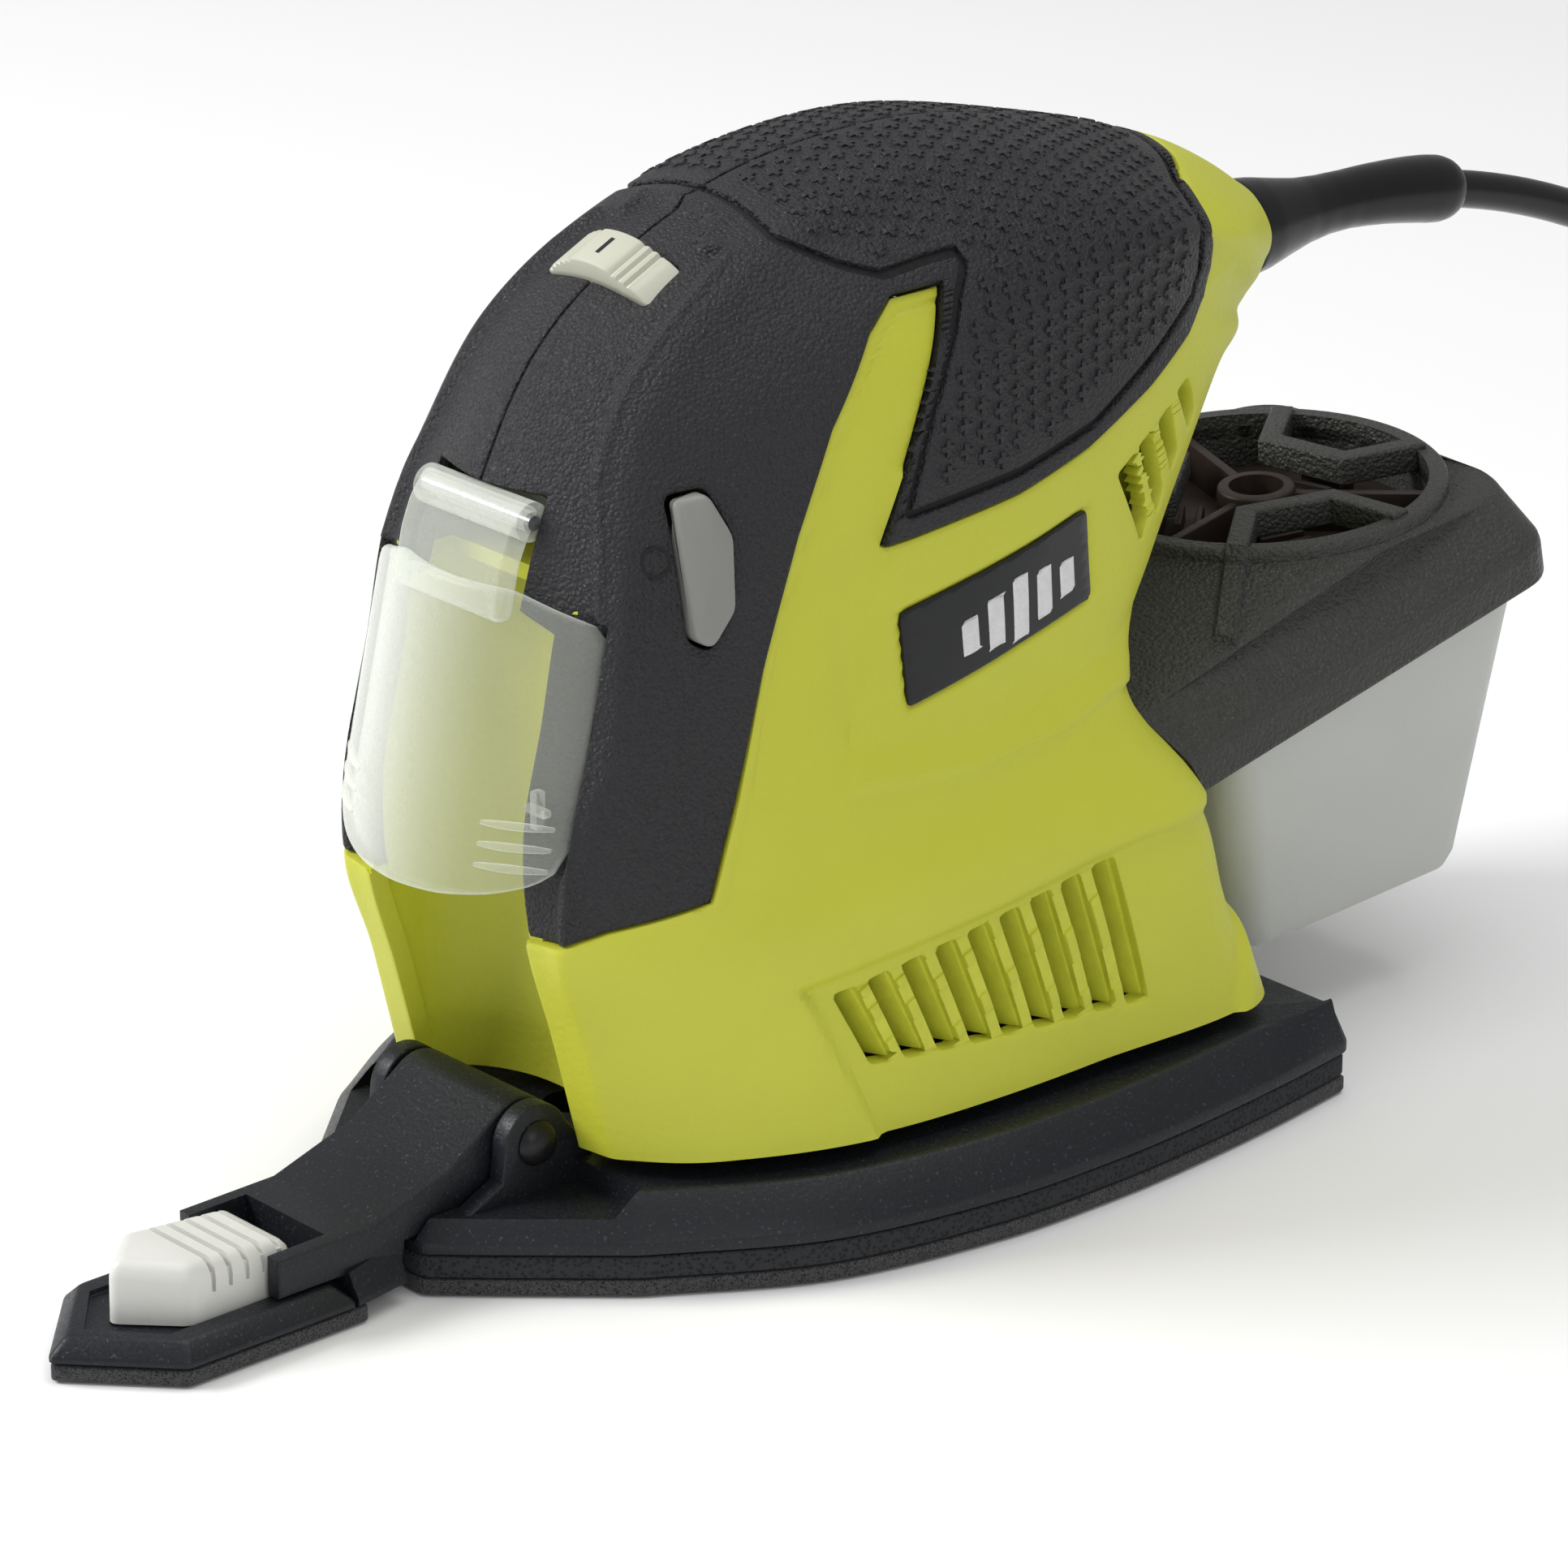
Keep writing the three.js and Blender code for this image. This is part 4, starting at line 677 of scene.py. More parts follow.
def hook_fabric(name, rgb):
    """Fine upright hooks seen as a fuzzy speckle, with painted highlights on their tips and painted shade
    between them.
    """
    finish = Finish(name, rgb, 1.0)
    tip_height_and_painted_light = finish.spread(finish.noise(0.4, 4, 1.5), 0.45, 0.65)
    finish.bump(tip_height_and_painted_light, 0.35)
    # Painted light: the hook tips are lightened as highlights and the fabric between them is darkened as
    # shade.
    finish.link(finish.mix(tip_height_and_painted_light, finish.shade(0.45), finish.shade(2.2)), "Base Color")
    finish.shader.inputs["Sheen Weight"].default_value = 0.3
    return finish.material


def paper(name, rgb):
    finish = Finish(name, rgb, 0.95)
    finish.bump(finish.noise(0.3, 5), 0.05)
    finish.mottle(2, 0.12)
    return finish.material


def laminated(name, rgb):
    """Stacked electrical sheet: thin dark lines across Z."""
    finish = Finish(name, rgb, 0.45, 0.9)
    split = finish.node("SeparateXYZ", Vector=finish.coords)
    wave = finish.maths("SINE", finish.maths("MULTIPLY", split.outputs[2], 9000.0))
    lines = finish.spread(wave, -0.2, 0.6)
    finish.link(finish.mix(lines, finish.shade(0.45), finish.shade(1.1)), "Base Color")
    finish.bump(lines, 0.06)
    return finish.material


def copper_wire(name, rgb):
    """Wound enamelled wire: fine round strands."""
    finish = Finish(name, rgb, 0.3, 1.0)
    split = finish.node("SeparateXYZ", Vector=finish.coords)
    total = finish.maths("ADD", split.outputs[0], finish.maths("MULTIPLY", split.outputs[2], 0.6))
    wave = finish.maths("SINE", finish.maths("MULTIPLY", total, 11000.0))
    finish.bump(wave, 0.12)
    finish.mottle(3, 0.2)
    return finish.material


LIME = leather_plastic("lime_plastic", (192, 195, 54), 0.5, 0.9, 0.035, 0.035, 0.2)
CHARCOAL = leather_plastic("charcoal_overmould", (40, 40, 43), 0.42, 0.5, 0.3, 0.06, 0.12)
GROOVE = leather_plastic("groove_rubber", (28, 28, 30), 0.7, 0.5, 0.04, 0.05, 0.0)
BLUE_BLACK = speckled_plastic("speckled_base_plastic", (24, 27, 32), 0.44)
LID_BLACK = leather_plastic("lid_plastic", (60, 60, 58), 0.36, 0.55, 0.3, 0.08, 0.15)
BROWN_BLACK = satin_plastic("filter_frame_plastic", (44, 35, 31), 0.45, 0.6, 0.03)
PALE_GREY = satin_plastic("pale_grey_plastic", (212, 212, 207), 0.42)
DIAL_GREY = satin_plastic("dial_plastic", (188, 188, 172), 0.45)
MID_GREY = satin_plastic("button_plastic", (132, 133, 128), 0.45)
RUBBER = satin_plastic("black_rubber", (20, 20, 21), 0.38, 1.2, 0.02, 0.1)
CABLE = satin_plastic("cable_sheath", (16, 16, 17), 0.22, 2.0, 0.02, 0.1)
GLOSS_BLACK = satin_plastic("badge_black", (30, 31, 33), 0.25, 0.5, 0.004)
BRUSHED = metal("brushed_silver", (214, 214, 214), 0.32, 0.25, (0.2, 4, 4))
CLEAR = clear_plastic("frosted_clear_plastic", (236, 240, 230), 0.28, 0.13)
MILKY = milky_plastic("milky_tub_plastic", (234, 236, 232))
FOAM = foam_rubber("foam_rubber", (44, 45, 48))
HOOK = hook_fabric("hook_fabric", (40, 41, 44))
PAPER = paper("filter_paper", (214, 206, 186))
INNER = satin_plastic("inner_plastic", (42, 42, 44), 0.6)
BOARD = satin_plastic("board_green", (44, 107, 60), 0.5, 1.0)
STEEL = metal("ground_steel", (190, 192, 195), 0.28)
SCREW = metal("screw_steel", (150, 153, 157), 0.35)
LAMINATION = laminated("lamination_steel", (120, 124, 128))
COPPER = copper_wire("copper_wire", (190, 116, 62))
BRASS = metal("brass", (198, 164, 84), 0.32)
ALUMINIUM = metal("cast_aluminium", (186, 188, 192), 0.5, 0.9)

SLOT_FINISH = {
    "lime": LIME, "charcoal": CHARCOAL, "gloss_black": GLOSS_BLACK, "clear": CLEAR, "pale_grey": PALE_GREY,
    "mid_grey": MID_GREY, "blue_black": BLUE_BLACK, "foam": FOAM, "hook_fabric": HOOK, "frosted": MILKY,
    "lid_black": LID_BLACK, "brown_black": BROWN_BLACK, "filter_paper": PAPER, "rubber": RUBBER,
    "inner_plastic": INNER, "board": BOARD, "steel": STEEL, "screw_steel": SCREW,
    "lamination": LAMINATION, "copper": COPPER, "brass": BRASS, "aluminium": ALUMINIUM,
}


def node_slots():
    """The record's material slot of each CAD node."""
    return {part["node"]: part["material_slot"] for part in frame["record"]["subparts"]}


# ---------------------------------------------------------------- housing pieces
def build_housing():
    for side, name in SIDES:
        def under(p, ease=1.0):
            return np.minimum(depth_in(p[:, 1:], OVERMOULD) - GAP, openings(p, side, ease))

        def light(p):
            return np.minimum(-depth_in(p[:, 1:], OVERMOULD) - GAP, openings(p, side))

        def pad(p):
            return np.minimum(depth_in(p[:, 1:], GRIP_PAD), openings(p, side))

        def border(p):
            return np.minimum(under(p, 0.0), -depth_in(p[:, 1:], GRIP_PAD) - GROOVE_WIDTH)

        body = panel(light, side, relief=light_relief)
        make(f"shell_{name}", [body], LIME, "housing", [f"housing_{name}"])
        parts = [panel(border, side, thickness=1.0, relief=dark_relief), panel(pad, side, thickness=1.0)]
        make(f"soft_skin_{name}", parts, CHARCOAL, "housing", [f"overmould_{name}"])
        floor = panel(under, side, cell=1.4, offset=-0.9, thickness=1.4, edge=0, relief=dark_relief)
        make(f"groove_floor_{name}", [floor], GROOVE, "housing")
        studs = grip_studs(side)
        make(f"grip_studs_{name}", studs, CHARCOAL, "housing", smooth=50)


def grip_studs(side, pitch=3.45, step=3.7):
    """Small raised crosses in staggered columns over the palm grip."""
    q_line = np.linspace(0.02, 5.6, 150)
    t_line = np.linspace(5.2, 12.9, 260)
    grid = skin(np.repeat(t_line, len(q_line)), np.tile(q_line, len(t_line)))
    ys = grid[:, 1].reshape(len(t_line), len(q_line))
    parts = []
    for column in range(-6, 26):
        y = column * pitch
        t_at = np.array([np.interp(y, ys[:, k], t_line) for k in range(len(q_line))])
        line = skin(t_at, q_line)
        run = np.concatenate([[0], np.cumsum(np.linalg.norm(np.diff(line, axis=0), axis=1))])
        stops = np.arange(1.6 + 0.5 * step * (column % 2), run[-1], step)
        tq = np.stack([np.interp(stops, run, t_at), np.interp(stops, run, q_line)], 1)
        spots = skin(tq[:, 0], tq[:, 1])
        keep = (depth_in(spots[:, 1:], GRIP_PAD) > 1.9) & (spots[:, 0] > 1.5)
        keep &= np.abs(spots[:, 1] - y) < 0.5
        directions = np.gradient(line, axis=0)
        for (t, q), spot in zip(tq[keep], spots[keep]):
            normal = normals(np.array([t]), np.array([q]))[0]
            along = np.array([np.interp(q, q_line, directions[:, k]) for k in range(3)])
            parts.append(cross_stud(spot, normal, along, side))
    return parts


def cross_stud(spot, normal, along, side, reach=1.3, half=0.45, height=0.26, sink=0.3):
    along = along - normal * (along @ normal)
    along /= np.linalg.norm(along)
    across = np.cross(normal, along)
    corner = [(half, reach), (half, half), (reach, half)]
    outline = []
    for turn in range(4):
        c, s = math.cos(turn * math.pi / 2), math.sin(turn * math.pi / 2)
        outline += [(x * c + y * s, -x * s + y * c) for x, y in corner]
    rings = []
    for scale, lift in ((1.0, -sink), (1.0, 0.1), (0.86, height)):
        rings.append([spot + (along * a + across * b) * scale + normal * lift for a, b in outline])
    part = loft(rings)
    return part if side > 0 else mirrored(part)


# ---------------------------------------------------------------- solid builders
def oriented(points, faces):
    """Faces turned so that they look outwards."""
    total = 0.0
    for face in faces:
        for k in range(1, len(face) - 1):
            total += points[face[0]] @ np.cross(points[face[k]], points[face[k + 1]])
    return (points, faces) if total > 0 else (points, [face[::-1] for face in faces])


def loft(rings):
    """A closed body through rings of equal point count, capped at both ends."""
    n = len(rings[0])
    points = np.concatenate([np.asarray(ring, float) for ring in rings])
    faces = [tuple(range(n)), tuple(range(len(points) - 1, len(points) - n - 1, -1))]
    for row in range(len(rings) - 1):
        for k in range(n):
            a, b = row * n + k, row * n + (k + 1) % n
            faces.append((a, a + n, b + n, b))
    return oriented(points, faces)


def counter_clockwise(outline):
    points = np.array(outline, float)
    after = np.roll(points, -1, 0)
    area = (points[:, 0] * after[:, 1] - after[:, 0] * points[:, 1]).sum()
    return points if area > 0 else points[::-1]


def edge_profile(low, high, edge, steps=3):
    """(inset, height) pairs up a wall with rounded bottom and top edges."""
    turns = [math.pi / 2 * k / steps for k in range(steps + 1)]
    up = [(edge * (1 - math.sin(a)), low + edge * (1 - math.cos(a))) for a in turns]
    down = [(edge * (1 - math.sin(a)), high - edge * (1 - math.cos(a))) for a in reversed(turns)]
    return up + down


def slab(outline, low, high, edge, place, steps=3):
    """A plate with rounded edges; place turns (u, v, w) columns into points."""
    outline = counter_clockwise(outline)
    rings = []
    for inset, height in edge_profile(low, high, edge, steps):
        ring = grown(outline, -inset)
        rings.append(place(ring[:, 0], ring[:, 1], np.full(len(ring), height)))
    return loft(rings)


def flat(u, v, w):
    return np.stack([u, v, w], 1)


def sideways(u, v, w):
    return np.stack([w, u, v], 1)


def along_x(y, z):
    """Places (u, v, w) about a line across the tool at (y, z), with w along it."""
    return lambda u, v, w: np.stack([w, y + u, z + v], 1)


def spun(profile, place, segments=40):
    """A body turned about the w axis from (radius, w) pairs."""
    angle = np.linspace(0, 2 * math.pi, segments, endpoint=False)
    rings = []
    for radius, height in profile:
        radius = max(radius, 0.01)
        w = np.full(segments, float(height))
        rings.append(place(radius * np.cos(angle), radius * np.sin(angle), w))
    return loft(rings)


def soften(profile, radius=0.4, steps=2):
    """A (radius, w) line with its inner corners rounded."""
    points = [np.array(p, float) for p in profile]
    result = [points[0]]
    for before, corner, after in zip(points, points[1:], points[2:]):
        result += corner_arc(before, corner, after, radius, steps)
    return result + [points[-1]]


def swept(path, radii, segments=28):
    """A round body along a line in the middle plane."""
    path = np.array(path, float)
    tangent = np.gradient(path, axis=0)
    tangent /= np.linalg.norm(tangent, axis=1)[:, None]
    aside = np.array([1.0, 0, 0])
    angle = np.linspace(0, 2 * math.pi, segments, endpoint=False)
    rings = []
    for spot, along, radius in zip(path, tangent, radii):
        up = np.cross(aside, along)
        rings.append(spot + radius * (np.cos(angle)[:, None] * aside + np.sin(angle)[:, None] * up))
    return loft(rings)


def box_body(x, y, z, edge=0.3):
    outline = [(x[0], y[0]), (x[1], y[0]), (x[1], y[1]), (x[0], y[1])]
    return slab(outline, z[0], z[1], edge, flat, 2)


def as_object(part):
    mesh = bpy.data.meshes.new("scratch")
    mesh.from_pydata(np.asarray(part[0]).tolist(), [], [list(f) for f in part[1]])
    scratch = bpy.data.objects.new("scratch", mesh)
    bpy.context.scene.collection.objects.link(scratch)
    return scratch


def carve(body, tools, operation="DIFFERENCE"):
    """A closed body cut (or kept inside) by others, as points and faces."""
    target = as_object(body)
    scratch = [as_object(tool) for tool in tools]
    for tool in scratch:
        step = target.modifiers.new("carve", "BOOLEAN")
        step.operation = operation
        step.solver = "MANIFOLD"
        step.object = tool
    bpy.context.view_layer.update()
    evaluated = target.evaluated_get(bpy.context.evaluated_depsgraph_get())
    mesh = evaluated.to_mesh()
    points = np.array([v.co for v in mesh.vertices], float)
    faces = [tuple(p.vertices) for p in mesh.polygons]
    evaluated.to_mesh_clear()
    for item in [target] + scratch:
        data = item.data
        bpy.data.objects.remove(item)
        bpy.data.meshes.remove(data)
    return points, faces


# ---------------------------------------------------------------- inside of the housing
def skin_body(offset, cell=2.0):
    """The whole housing as one closed body, its skin moved in or out."""
    q = np.linspace(0, 7, int(150 / cell))
    rings = []
    for t in np.linspace(0, LAST, int(220 / cell)):
        here = np.full(len(q), t)
        half = skin(here, q) + normals(here, q) * offset
        half[[0, -1], 0] = 0
        rings.append(np.concatenate([half, half[-2:0:-1] * np.array([-1, 1, 1])]))
    return loft(rings)


def cavity_body(half, depth, low, high):
    angle = np.linspace(0, math.pi, 25)
    back = np.stack([half * np.cos(angle), -56 + depth * np.sin(angle)], 1)
    outline = np.concatenate([[(-half, -95), (half, -95)], back])
    return slab(outline, low, high, 0.05, flat, 1)


def skin_width(points):
    """Half-width of the skin at (y, z) points low on the side."""
    grid = np.meshgrid(np.linspace(0, 9, 160), np.linspace(2, 6.9, 120), indexing="ij")
    known = skin(grid[0].ravel(), grid[1].ravel())
    return np.array([known[np.argmin(((known[:, 1:] - p) ** 2).sum(1)), 0] for p in points])


def blade(foot, head, depth, lean, thickness=1.0, behind=2.9):
    """A thin wall behind one edge of a vent, reaching into the housing."""
    ends = np.array([foot, head], float)
    width = skin_width(ends)
    near = np.stack([width - behind, ends[:, 0], ends[:, 1]], 1)
    far = near + np.array([-depth, -lean, 0])
    shift = np.array([0, thickness, 0])
    ring = [near[0], near[1], far[1], far[0]]
    return loft([np.array(ring), np.array(ring) + shift])


def build_inside():
    notch = box_body((-NOTCH_HALF, NOTCH_HALF), (-90, -52.4), (97, 115))
    wall = carve(cavity_body(CAVITY_HALF + WALL, 12 + WALL, 15 + WALL, CAVITY_TOP + WALL),
                 [cavity_body(CAVITY_HALF, 12, 5, CAVITY_TOP), notch])
    wall = carve(wall, [skin_body(-1.0)], "INTERSECT")
    behind = [(flap_front(19, z) + 3.6, z) for z in (60, CAVITY_TOP)]
    wall = carve(wall, [slab([(-95, 60), *behind, (-95, CAVITY_TOP)], -25, 25, 0.05, sideways, 1)])
    make("finger_bay", [wall], LIME, "housing", smooth=30)
    blades = []
    for slot in side_vents():
        foot, head = np.array(slot[1]) + (-0.3, 0.4), np.array(slot[2]) + (-0.3, -0.4)
        blades.append(blade(foot, head, 6.5, 3.2))
    for slot in NECK_VENTS:
        foot, head = np.array(slot[2]) + (0.6, 0.8), np.array(slot[4]) + (0.6, -0.8)
        blades.append(blade(foot, head, 4.0, 0.6, 0.8, 4.2))
    make("louvres_left", blades, LIME, "housing")
    make("louvres_right", [mirrored(b) for b in blades], LIME, "housing")
    ring = [(1.7, -0.4), (1.75, 0.1), (2.3, 0.1), (2.35, -0.4)]
    for side, name in SIDES:
        make(f"switch_mark_{name}", [ring_mark(ring, side)], GROOVE, "housing")


def ring_mark(profile, side):
    """A small raised ring beside the power switch."""
    grid = np.meshgrid(np.linspace(4.8, 5.9, 60), np.linspace(1, 2.8, 60), indexing="ij")
    known = skin(grid[0].ravel(), grid[1].ravel())
    best = np.argmin(((known[:, 1:] - MARK) ** 2).sum(1))
    t, q = grid[0].ravel()[[best]], grid[1].ravel()[[best]]
    centre, normal = skin(t, q)[0], normals(t, q)[0]
    aside = np.cross(normal, (0, 0, 1.0))
    aside /= np.linalg.norm(aside)
    up = np.cross(aside, normal)
    angle = np.linspace(0, 2 * math.pi, 48, endpoint=False)
    circle = np.cos(angle)[:, None] * aside + np.sin(angle)[:, None] * up
    rings = [centre + circle * radius + normal * lift for radius, lift in profile]
    points = np.concatenate(rings)
    count, rows, faces = len(angle), len(profile), []
    for row in range(rows):
        for k in range(count):
            a, b = row * count + k, row * count + (k + 1) % count
            c, d = (a + count) % (rows * count), (b + count) % (rows * count)
            faces.append((a, c, d, b))
    part = oriented(points, faces)
    return part if side > 0 else mirrored(part)


# ---------------------------------------------------------------- badges
def build_badges():
    for side, name in SIDES:
        def plate(p):
            return np.where(p[:, 0] > 20, depth_in(p[:, 1:], rounded(BADGE, 1)), -9)

        part = panel(plate, side, cell=0.9, offset=0.15, thickness=1.0, edge=0.25, relief=badge_base)
        make(f"badge_plate_{name}", [part], GLOSS_BLACK, "housing", [f"badge_{name}"])
        bars = []
        for k, height in enumerate((5.2, 7.4, 9.4, 7.4, 5.2)):
            bar = badge_bar(1.2 + 5.2 * k, height)
            bars.append(panel(bar, side, cell=0.6, offset=0.28, thickness=0.3, edge=0.06, relief=badge_base))
        make(f"badge_device_{name}", bars, BRUSHED, "housing")


def badge_base(p):
    """The badge's seat, a constant depth under the skin."""
    return np.full(len(p), -0.6)


def badge_bar(start, height):
    """One upright bar of the plain device, leaning like the badge's ends."""
    middle = 85.2 + 0.17 * (start + 1.8)
    outline = [
        (start, middle - height / 2), (start + 3.2, middle - height / 2 + 0.55),
        (start + 3.0, middle + height / 2 + 0.55), (start - 0.2, middle + height / 2),
    ]
    return lambda p: np.where(p[:, 0] > 20, depth_in(p[:, 1:], outline), -9)


# ---------------------------------------------------------------- storage flap
def flap_place(u, v, w):
    return np.stack([u, flap_front(u, v) - w, v], 1)


def flap_sheet():
    """The curved front of the flap as a grid of columns, so that its faces bend with it."""
    outline = rounded(FLAP_OUTLINE, 2.0, 5)
    x = np.concatenate([[-24], np.linspace(-23.9, 23.9, 41), [24]])
    upper, lower = [], []
    for value in np.clip(x, -23.99, 23.99):
        hits = []
        for a, b in zip(outline, np.roll(outline, -1, 0)):
            if (a[0] - value) * (b[0] - value) < 0:
                hits.append(a[1] + (value - a[0]) / (b[0] - a[0]) * (b[1] - a[1]))
        upper.append(max(hits))
        lower.append(min(hits))
    rings = []
    for value, top, bottom in zip(x, upper, lower):
        inset = 0.75 * (1 - min(1, (24 - abs(value)) / 0.1))
        low, high = inset - 2, -inset
        section = rounded([(bottom, low), (bottom, high), (top, high), (top, low)], 0.9, 3)
        rings.append(flap_place(np.full(len(section), value), *section.T))
    return loft(rings)


def build_flap():
    tab = rounded([(-63.9, 97), (-63.4, 101), (-62.4, 105.5), (-60.6, 109.8), (-57.6, 113.4), (-55.4, 111.8),
                   (-57.2, 108.9), (-59.2, 104.6), (-60.6, 98.2), (-61.2, 97)], 1.2, 5)
    ribs = []
    for side in (-1, 1):
        for height in (63.6, 66.6, 69.6):
            ribs.append(grip_rib(side * 13.6, side * 22.8, height))
    catch_face = flap_front(19.4, 71.5)
    catch = [
        box_body((18.7, 20.1), (catch_face + 1, catch_face + 2.6), (68.8, 74.6)),
        box_body((17.2, 21.6), (catch_face + 1.1, catch_face + 2.4), (70.9, 72.2)),
    ]
    barrel = spun([(1.5, -11.3), (2.9, -11.3), (2.9, 11.3), (1.5, 11.3), (1.5, -11.3)],
                  along_x(*HINGE))
    parts = [flap_sheet(), slab(tab, -11.4, 11.4, 0.7, sideways, 3), *ribs, *catch, barrel]
    make("flap_shell", parts, CLEAR, "flap", ["storage_flap"], smooth=40)
    axle = spun([(0.05, -11.8), (1.1, -11.8), (1.1, 11.8), (0.05, 11.8)], along_x(*HINGE), 20)
    make("flap_axle", [axle], STEEL, "housing", ["flap_pin"])


def grip_rib(start, end, height):
    """A low half-round bar across the face of the flap, tapering at both ends."""
    rings = []
    angle = np.linspace(0, 2 * math.pi, 12, endpoint=False)
    for f in np.linspace(0, 1, 9):
        size = 0.62 * math.sin(math.pi * (0.08 + 0.84 * f)) ** 0.5
        x = start + (end - start) * f
        v = height + size * np.sin(angle)
        rings.append(flap_place(np.full(12, x), v, 0.05 + size * np.cos(angle)))
    return loft(rings)


# ---------------------------------------------------------------- speed dial
def dial_place(u, v, w):
    """u across the tool, v outwards at the top of the slot, w along the dial's axis."""
    outward = np.array([0, -DIAL_AXIS[2], DIAL_AXIS[1]])
    return DIAL_CENTRE + np.outer(u, (1, 0, 0)) + np.outer(v, outward) + np.outer(w, DIAL_AXIS)


def build_dial():
    angle = np.radians(np.arange(0, 360, 2))
    away = np.full(len(angle), 180.0)
    for mark in range(6):
        away = np.minimum(away, np.abs((np.degrees(angle) - 90 + 50 * mark + 180) % 360 - 180))
    teeth = 0.28 * (1 + np.cos(np.arange(len(angle)) * math.pi * 2 / 3))
    radius = np.where(away <= 14, DIAL_RADIUS, DIAL_RADIUS - teeth)
    rings = []
    half = DIAL_WIDTH / 2
    for inset, height in edge_profile(-half, half, 0.5):
        size = radius - inset
        rings.append(dial_place(size * np.cos(angle), size * np.sin(angle), np.full(len(angle), height)))
    parts = [carve(loft(rings), [spun([(2.3, -9), (2.3, 9)], dial_place, 24)])]
    make("dial_wheel", parts, DIAL_GREY, "dial", ["speed_dial"], smooth=28)
    digits = []
    for mark in range(6):
        digits += numeral(str(mark + 1), math.radians(90 - 50 * mark))
    make("dial_numerals", digits, GROOVE, "dial")


def numeral(text, angle, height=4.6):
    """A raised figure on the rim of the dial."""
    curve = bpy.data.curves.new("numeral", "FONT")
    curve.body = text
    curve.align_x, curve.align_y = "CENTER", "CENTER"
    curve.size = height
    curve.extrude = 0.12
    curve.offset = 0.14
    curve.resolution_u = 3
    holder = bpy.data.objects.new("numeral", curve)
    bpy.context.scene.collection.objects.link(holder)
    bpy.context.view_layer.update()
    mesh = bpy.data.meshes.new_from_object(holder.evaluated_get(bpy.context.evaluated_depsgraph_get()))
    points = np.array([v.co for v in mesh.vertices], float)
    faces = [tuple(p.vertices) for p in mesh.polygons]
    bpy.data.objects.remove(holder)
    turn = angle - points[:, 0] / DIAL_RADIUS
    reach = DIAL_RADIUS - 0.06 + points[:, 2]
    placed = dial_place(reach * np.cos(turn), reach * np.sin(turn), points[:, 1])
    return [(placed, faces)]


# ---------------------------------------------------------------- power switch
def side_fit():
    """Skin half-width beside the switch as a second-degree surface over (y, z)."""
    grid = np.meshgrid(np.linspace(4, 6.6, 60), np.linspace(1, 3.4, 60), indexing="ij")
    known = skin(grid[0].ravel(), grid[1].ravel())
    near = known[depth_in(known[:, 1:], grown(SWITCH_FACE, 2)) > 0]
    return np.linalg.lstsq(second_degree(near[:, 1], near[:, 2]), near[:, 0], rcond=None)[0]


def second_degree(y, z):
    y, z = y + 43, z - 106
    return np.stack([np.ones(len(y)), y, z, y * y, y * z, z * z], 1)


def button_end(fit, sink):
    """One end of the switch bar: its face follows the side of the tool and has rounded edges."""
    outline = np.array(counter_clockwise(rounded(SWITCH_FACE, 1.1, 4)), float)
    centre = outline.mean(0)
    rings = [np.stack([np.full(len(outline), 26.0 - sink), *outline.T], 1)]
    profile = [(1, 0), (1, 0.7), (0.985, 1.1), (0.95, 1.4), (0.89, 1.55), (0.6, 1.7), (0.3, 1.75),
               (0.05, 1.76)]
    for scale, height in profile:
        ring = centre + (outline - centre) * scale
        width = second_degree(ring[:, 0], ring[:, 1]) @ fit
        rings.append(np.stack([width + height - sink, *ring.T], 1))
    return oriented(*loft(rings))


def build_switch():
    fit = side_fit()
    near, far = button_end(fit, 0), mirrored(button_end(fit, SWITCH_TRAVEL))
    bridge = box_body((-27, 27), (-43, -38.5), (103, 109))
    make("switch_button", [near, far, bridge], MID_GREY, "switch", ["switch_bar"], smooth=40)


# ---------------------------------------------------------------- sanding pad
PAD_BOW = [(34.3, -58), (48.5, -34.3), (54.9, -7.3), (56.1, 14.5), (55.5, 31.6), (53.8, 50.1), (51.1, 69)]
PIVOT = (-61.2, 18.7)
PIVOT_BOSS = 5.8
DUST_HOLES = [(0, -42), (-30, -14), (30, -14), (-34, 30), (34, 30), (0, 48)]


def boss_arc(start, end, count):
    angles = np.radians(np.linspace(start, end, count))
    return [(PIVOT[0] + PIVOT_BOSS * math.cos(a), PIVOT[1] + PIVOT_BOSS * math.sin(a)) for a in angles]


def bowed(points, per_span=6):
    points = np.array(points, float)
    padded = np.concatenate([[2 * points[0] - points[1]], points, [2 * points[-1] - points[-2]]])
    result = []
    for i in range(len(points) - 1):
        for k in range(per_span):
            w = weights(k / per_span)
            result.append(sum(w[j] * padded[i + j] for j in range(4)))
    return result + [points[-1]]


def pad_ring(inset):
    """A blunt nose, bowed sides and a straight tail, moved inwards, with small corner radii."""
    side = [(13.2, -81), (19.6, -74.2)] + bowed(PAD_BOW)
    left = [(-x, y) for x, y in reversed(side)]
    return np.array(rounded(grown(counter_clockwise(side + left), -inset), 1.2, 2))


def upright(x, y):
    return lambda u, v, w: np.stack([u + x, v + y, w], 1)


def hole_tools(low, high, radius=4.0):
    return [spun([(radius, low), (radius, high)], upright(x, y), 24) for x, y in DUST_HOLES]


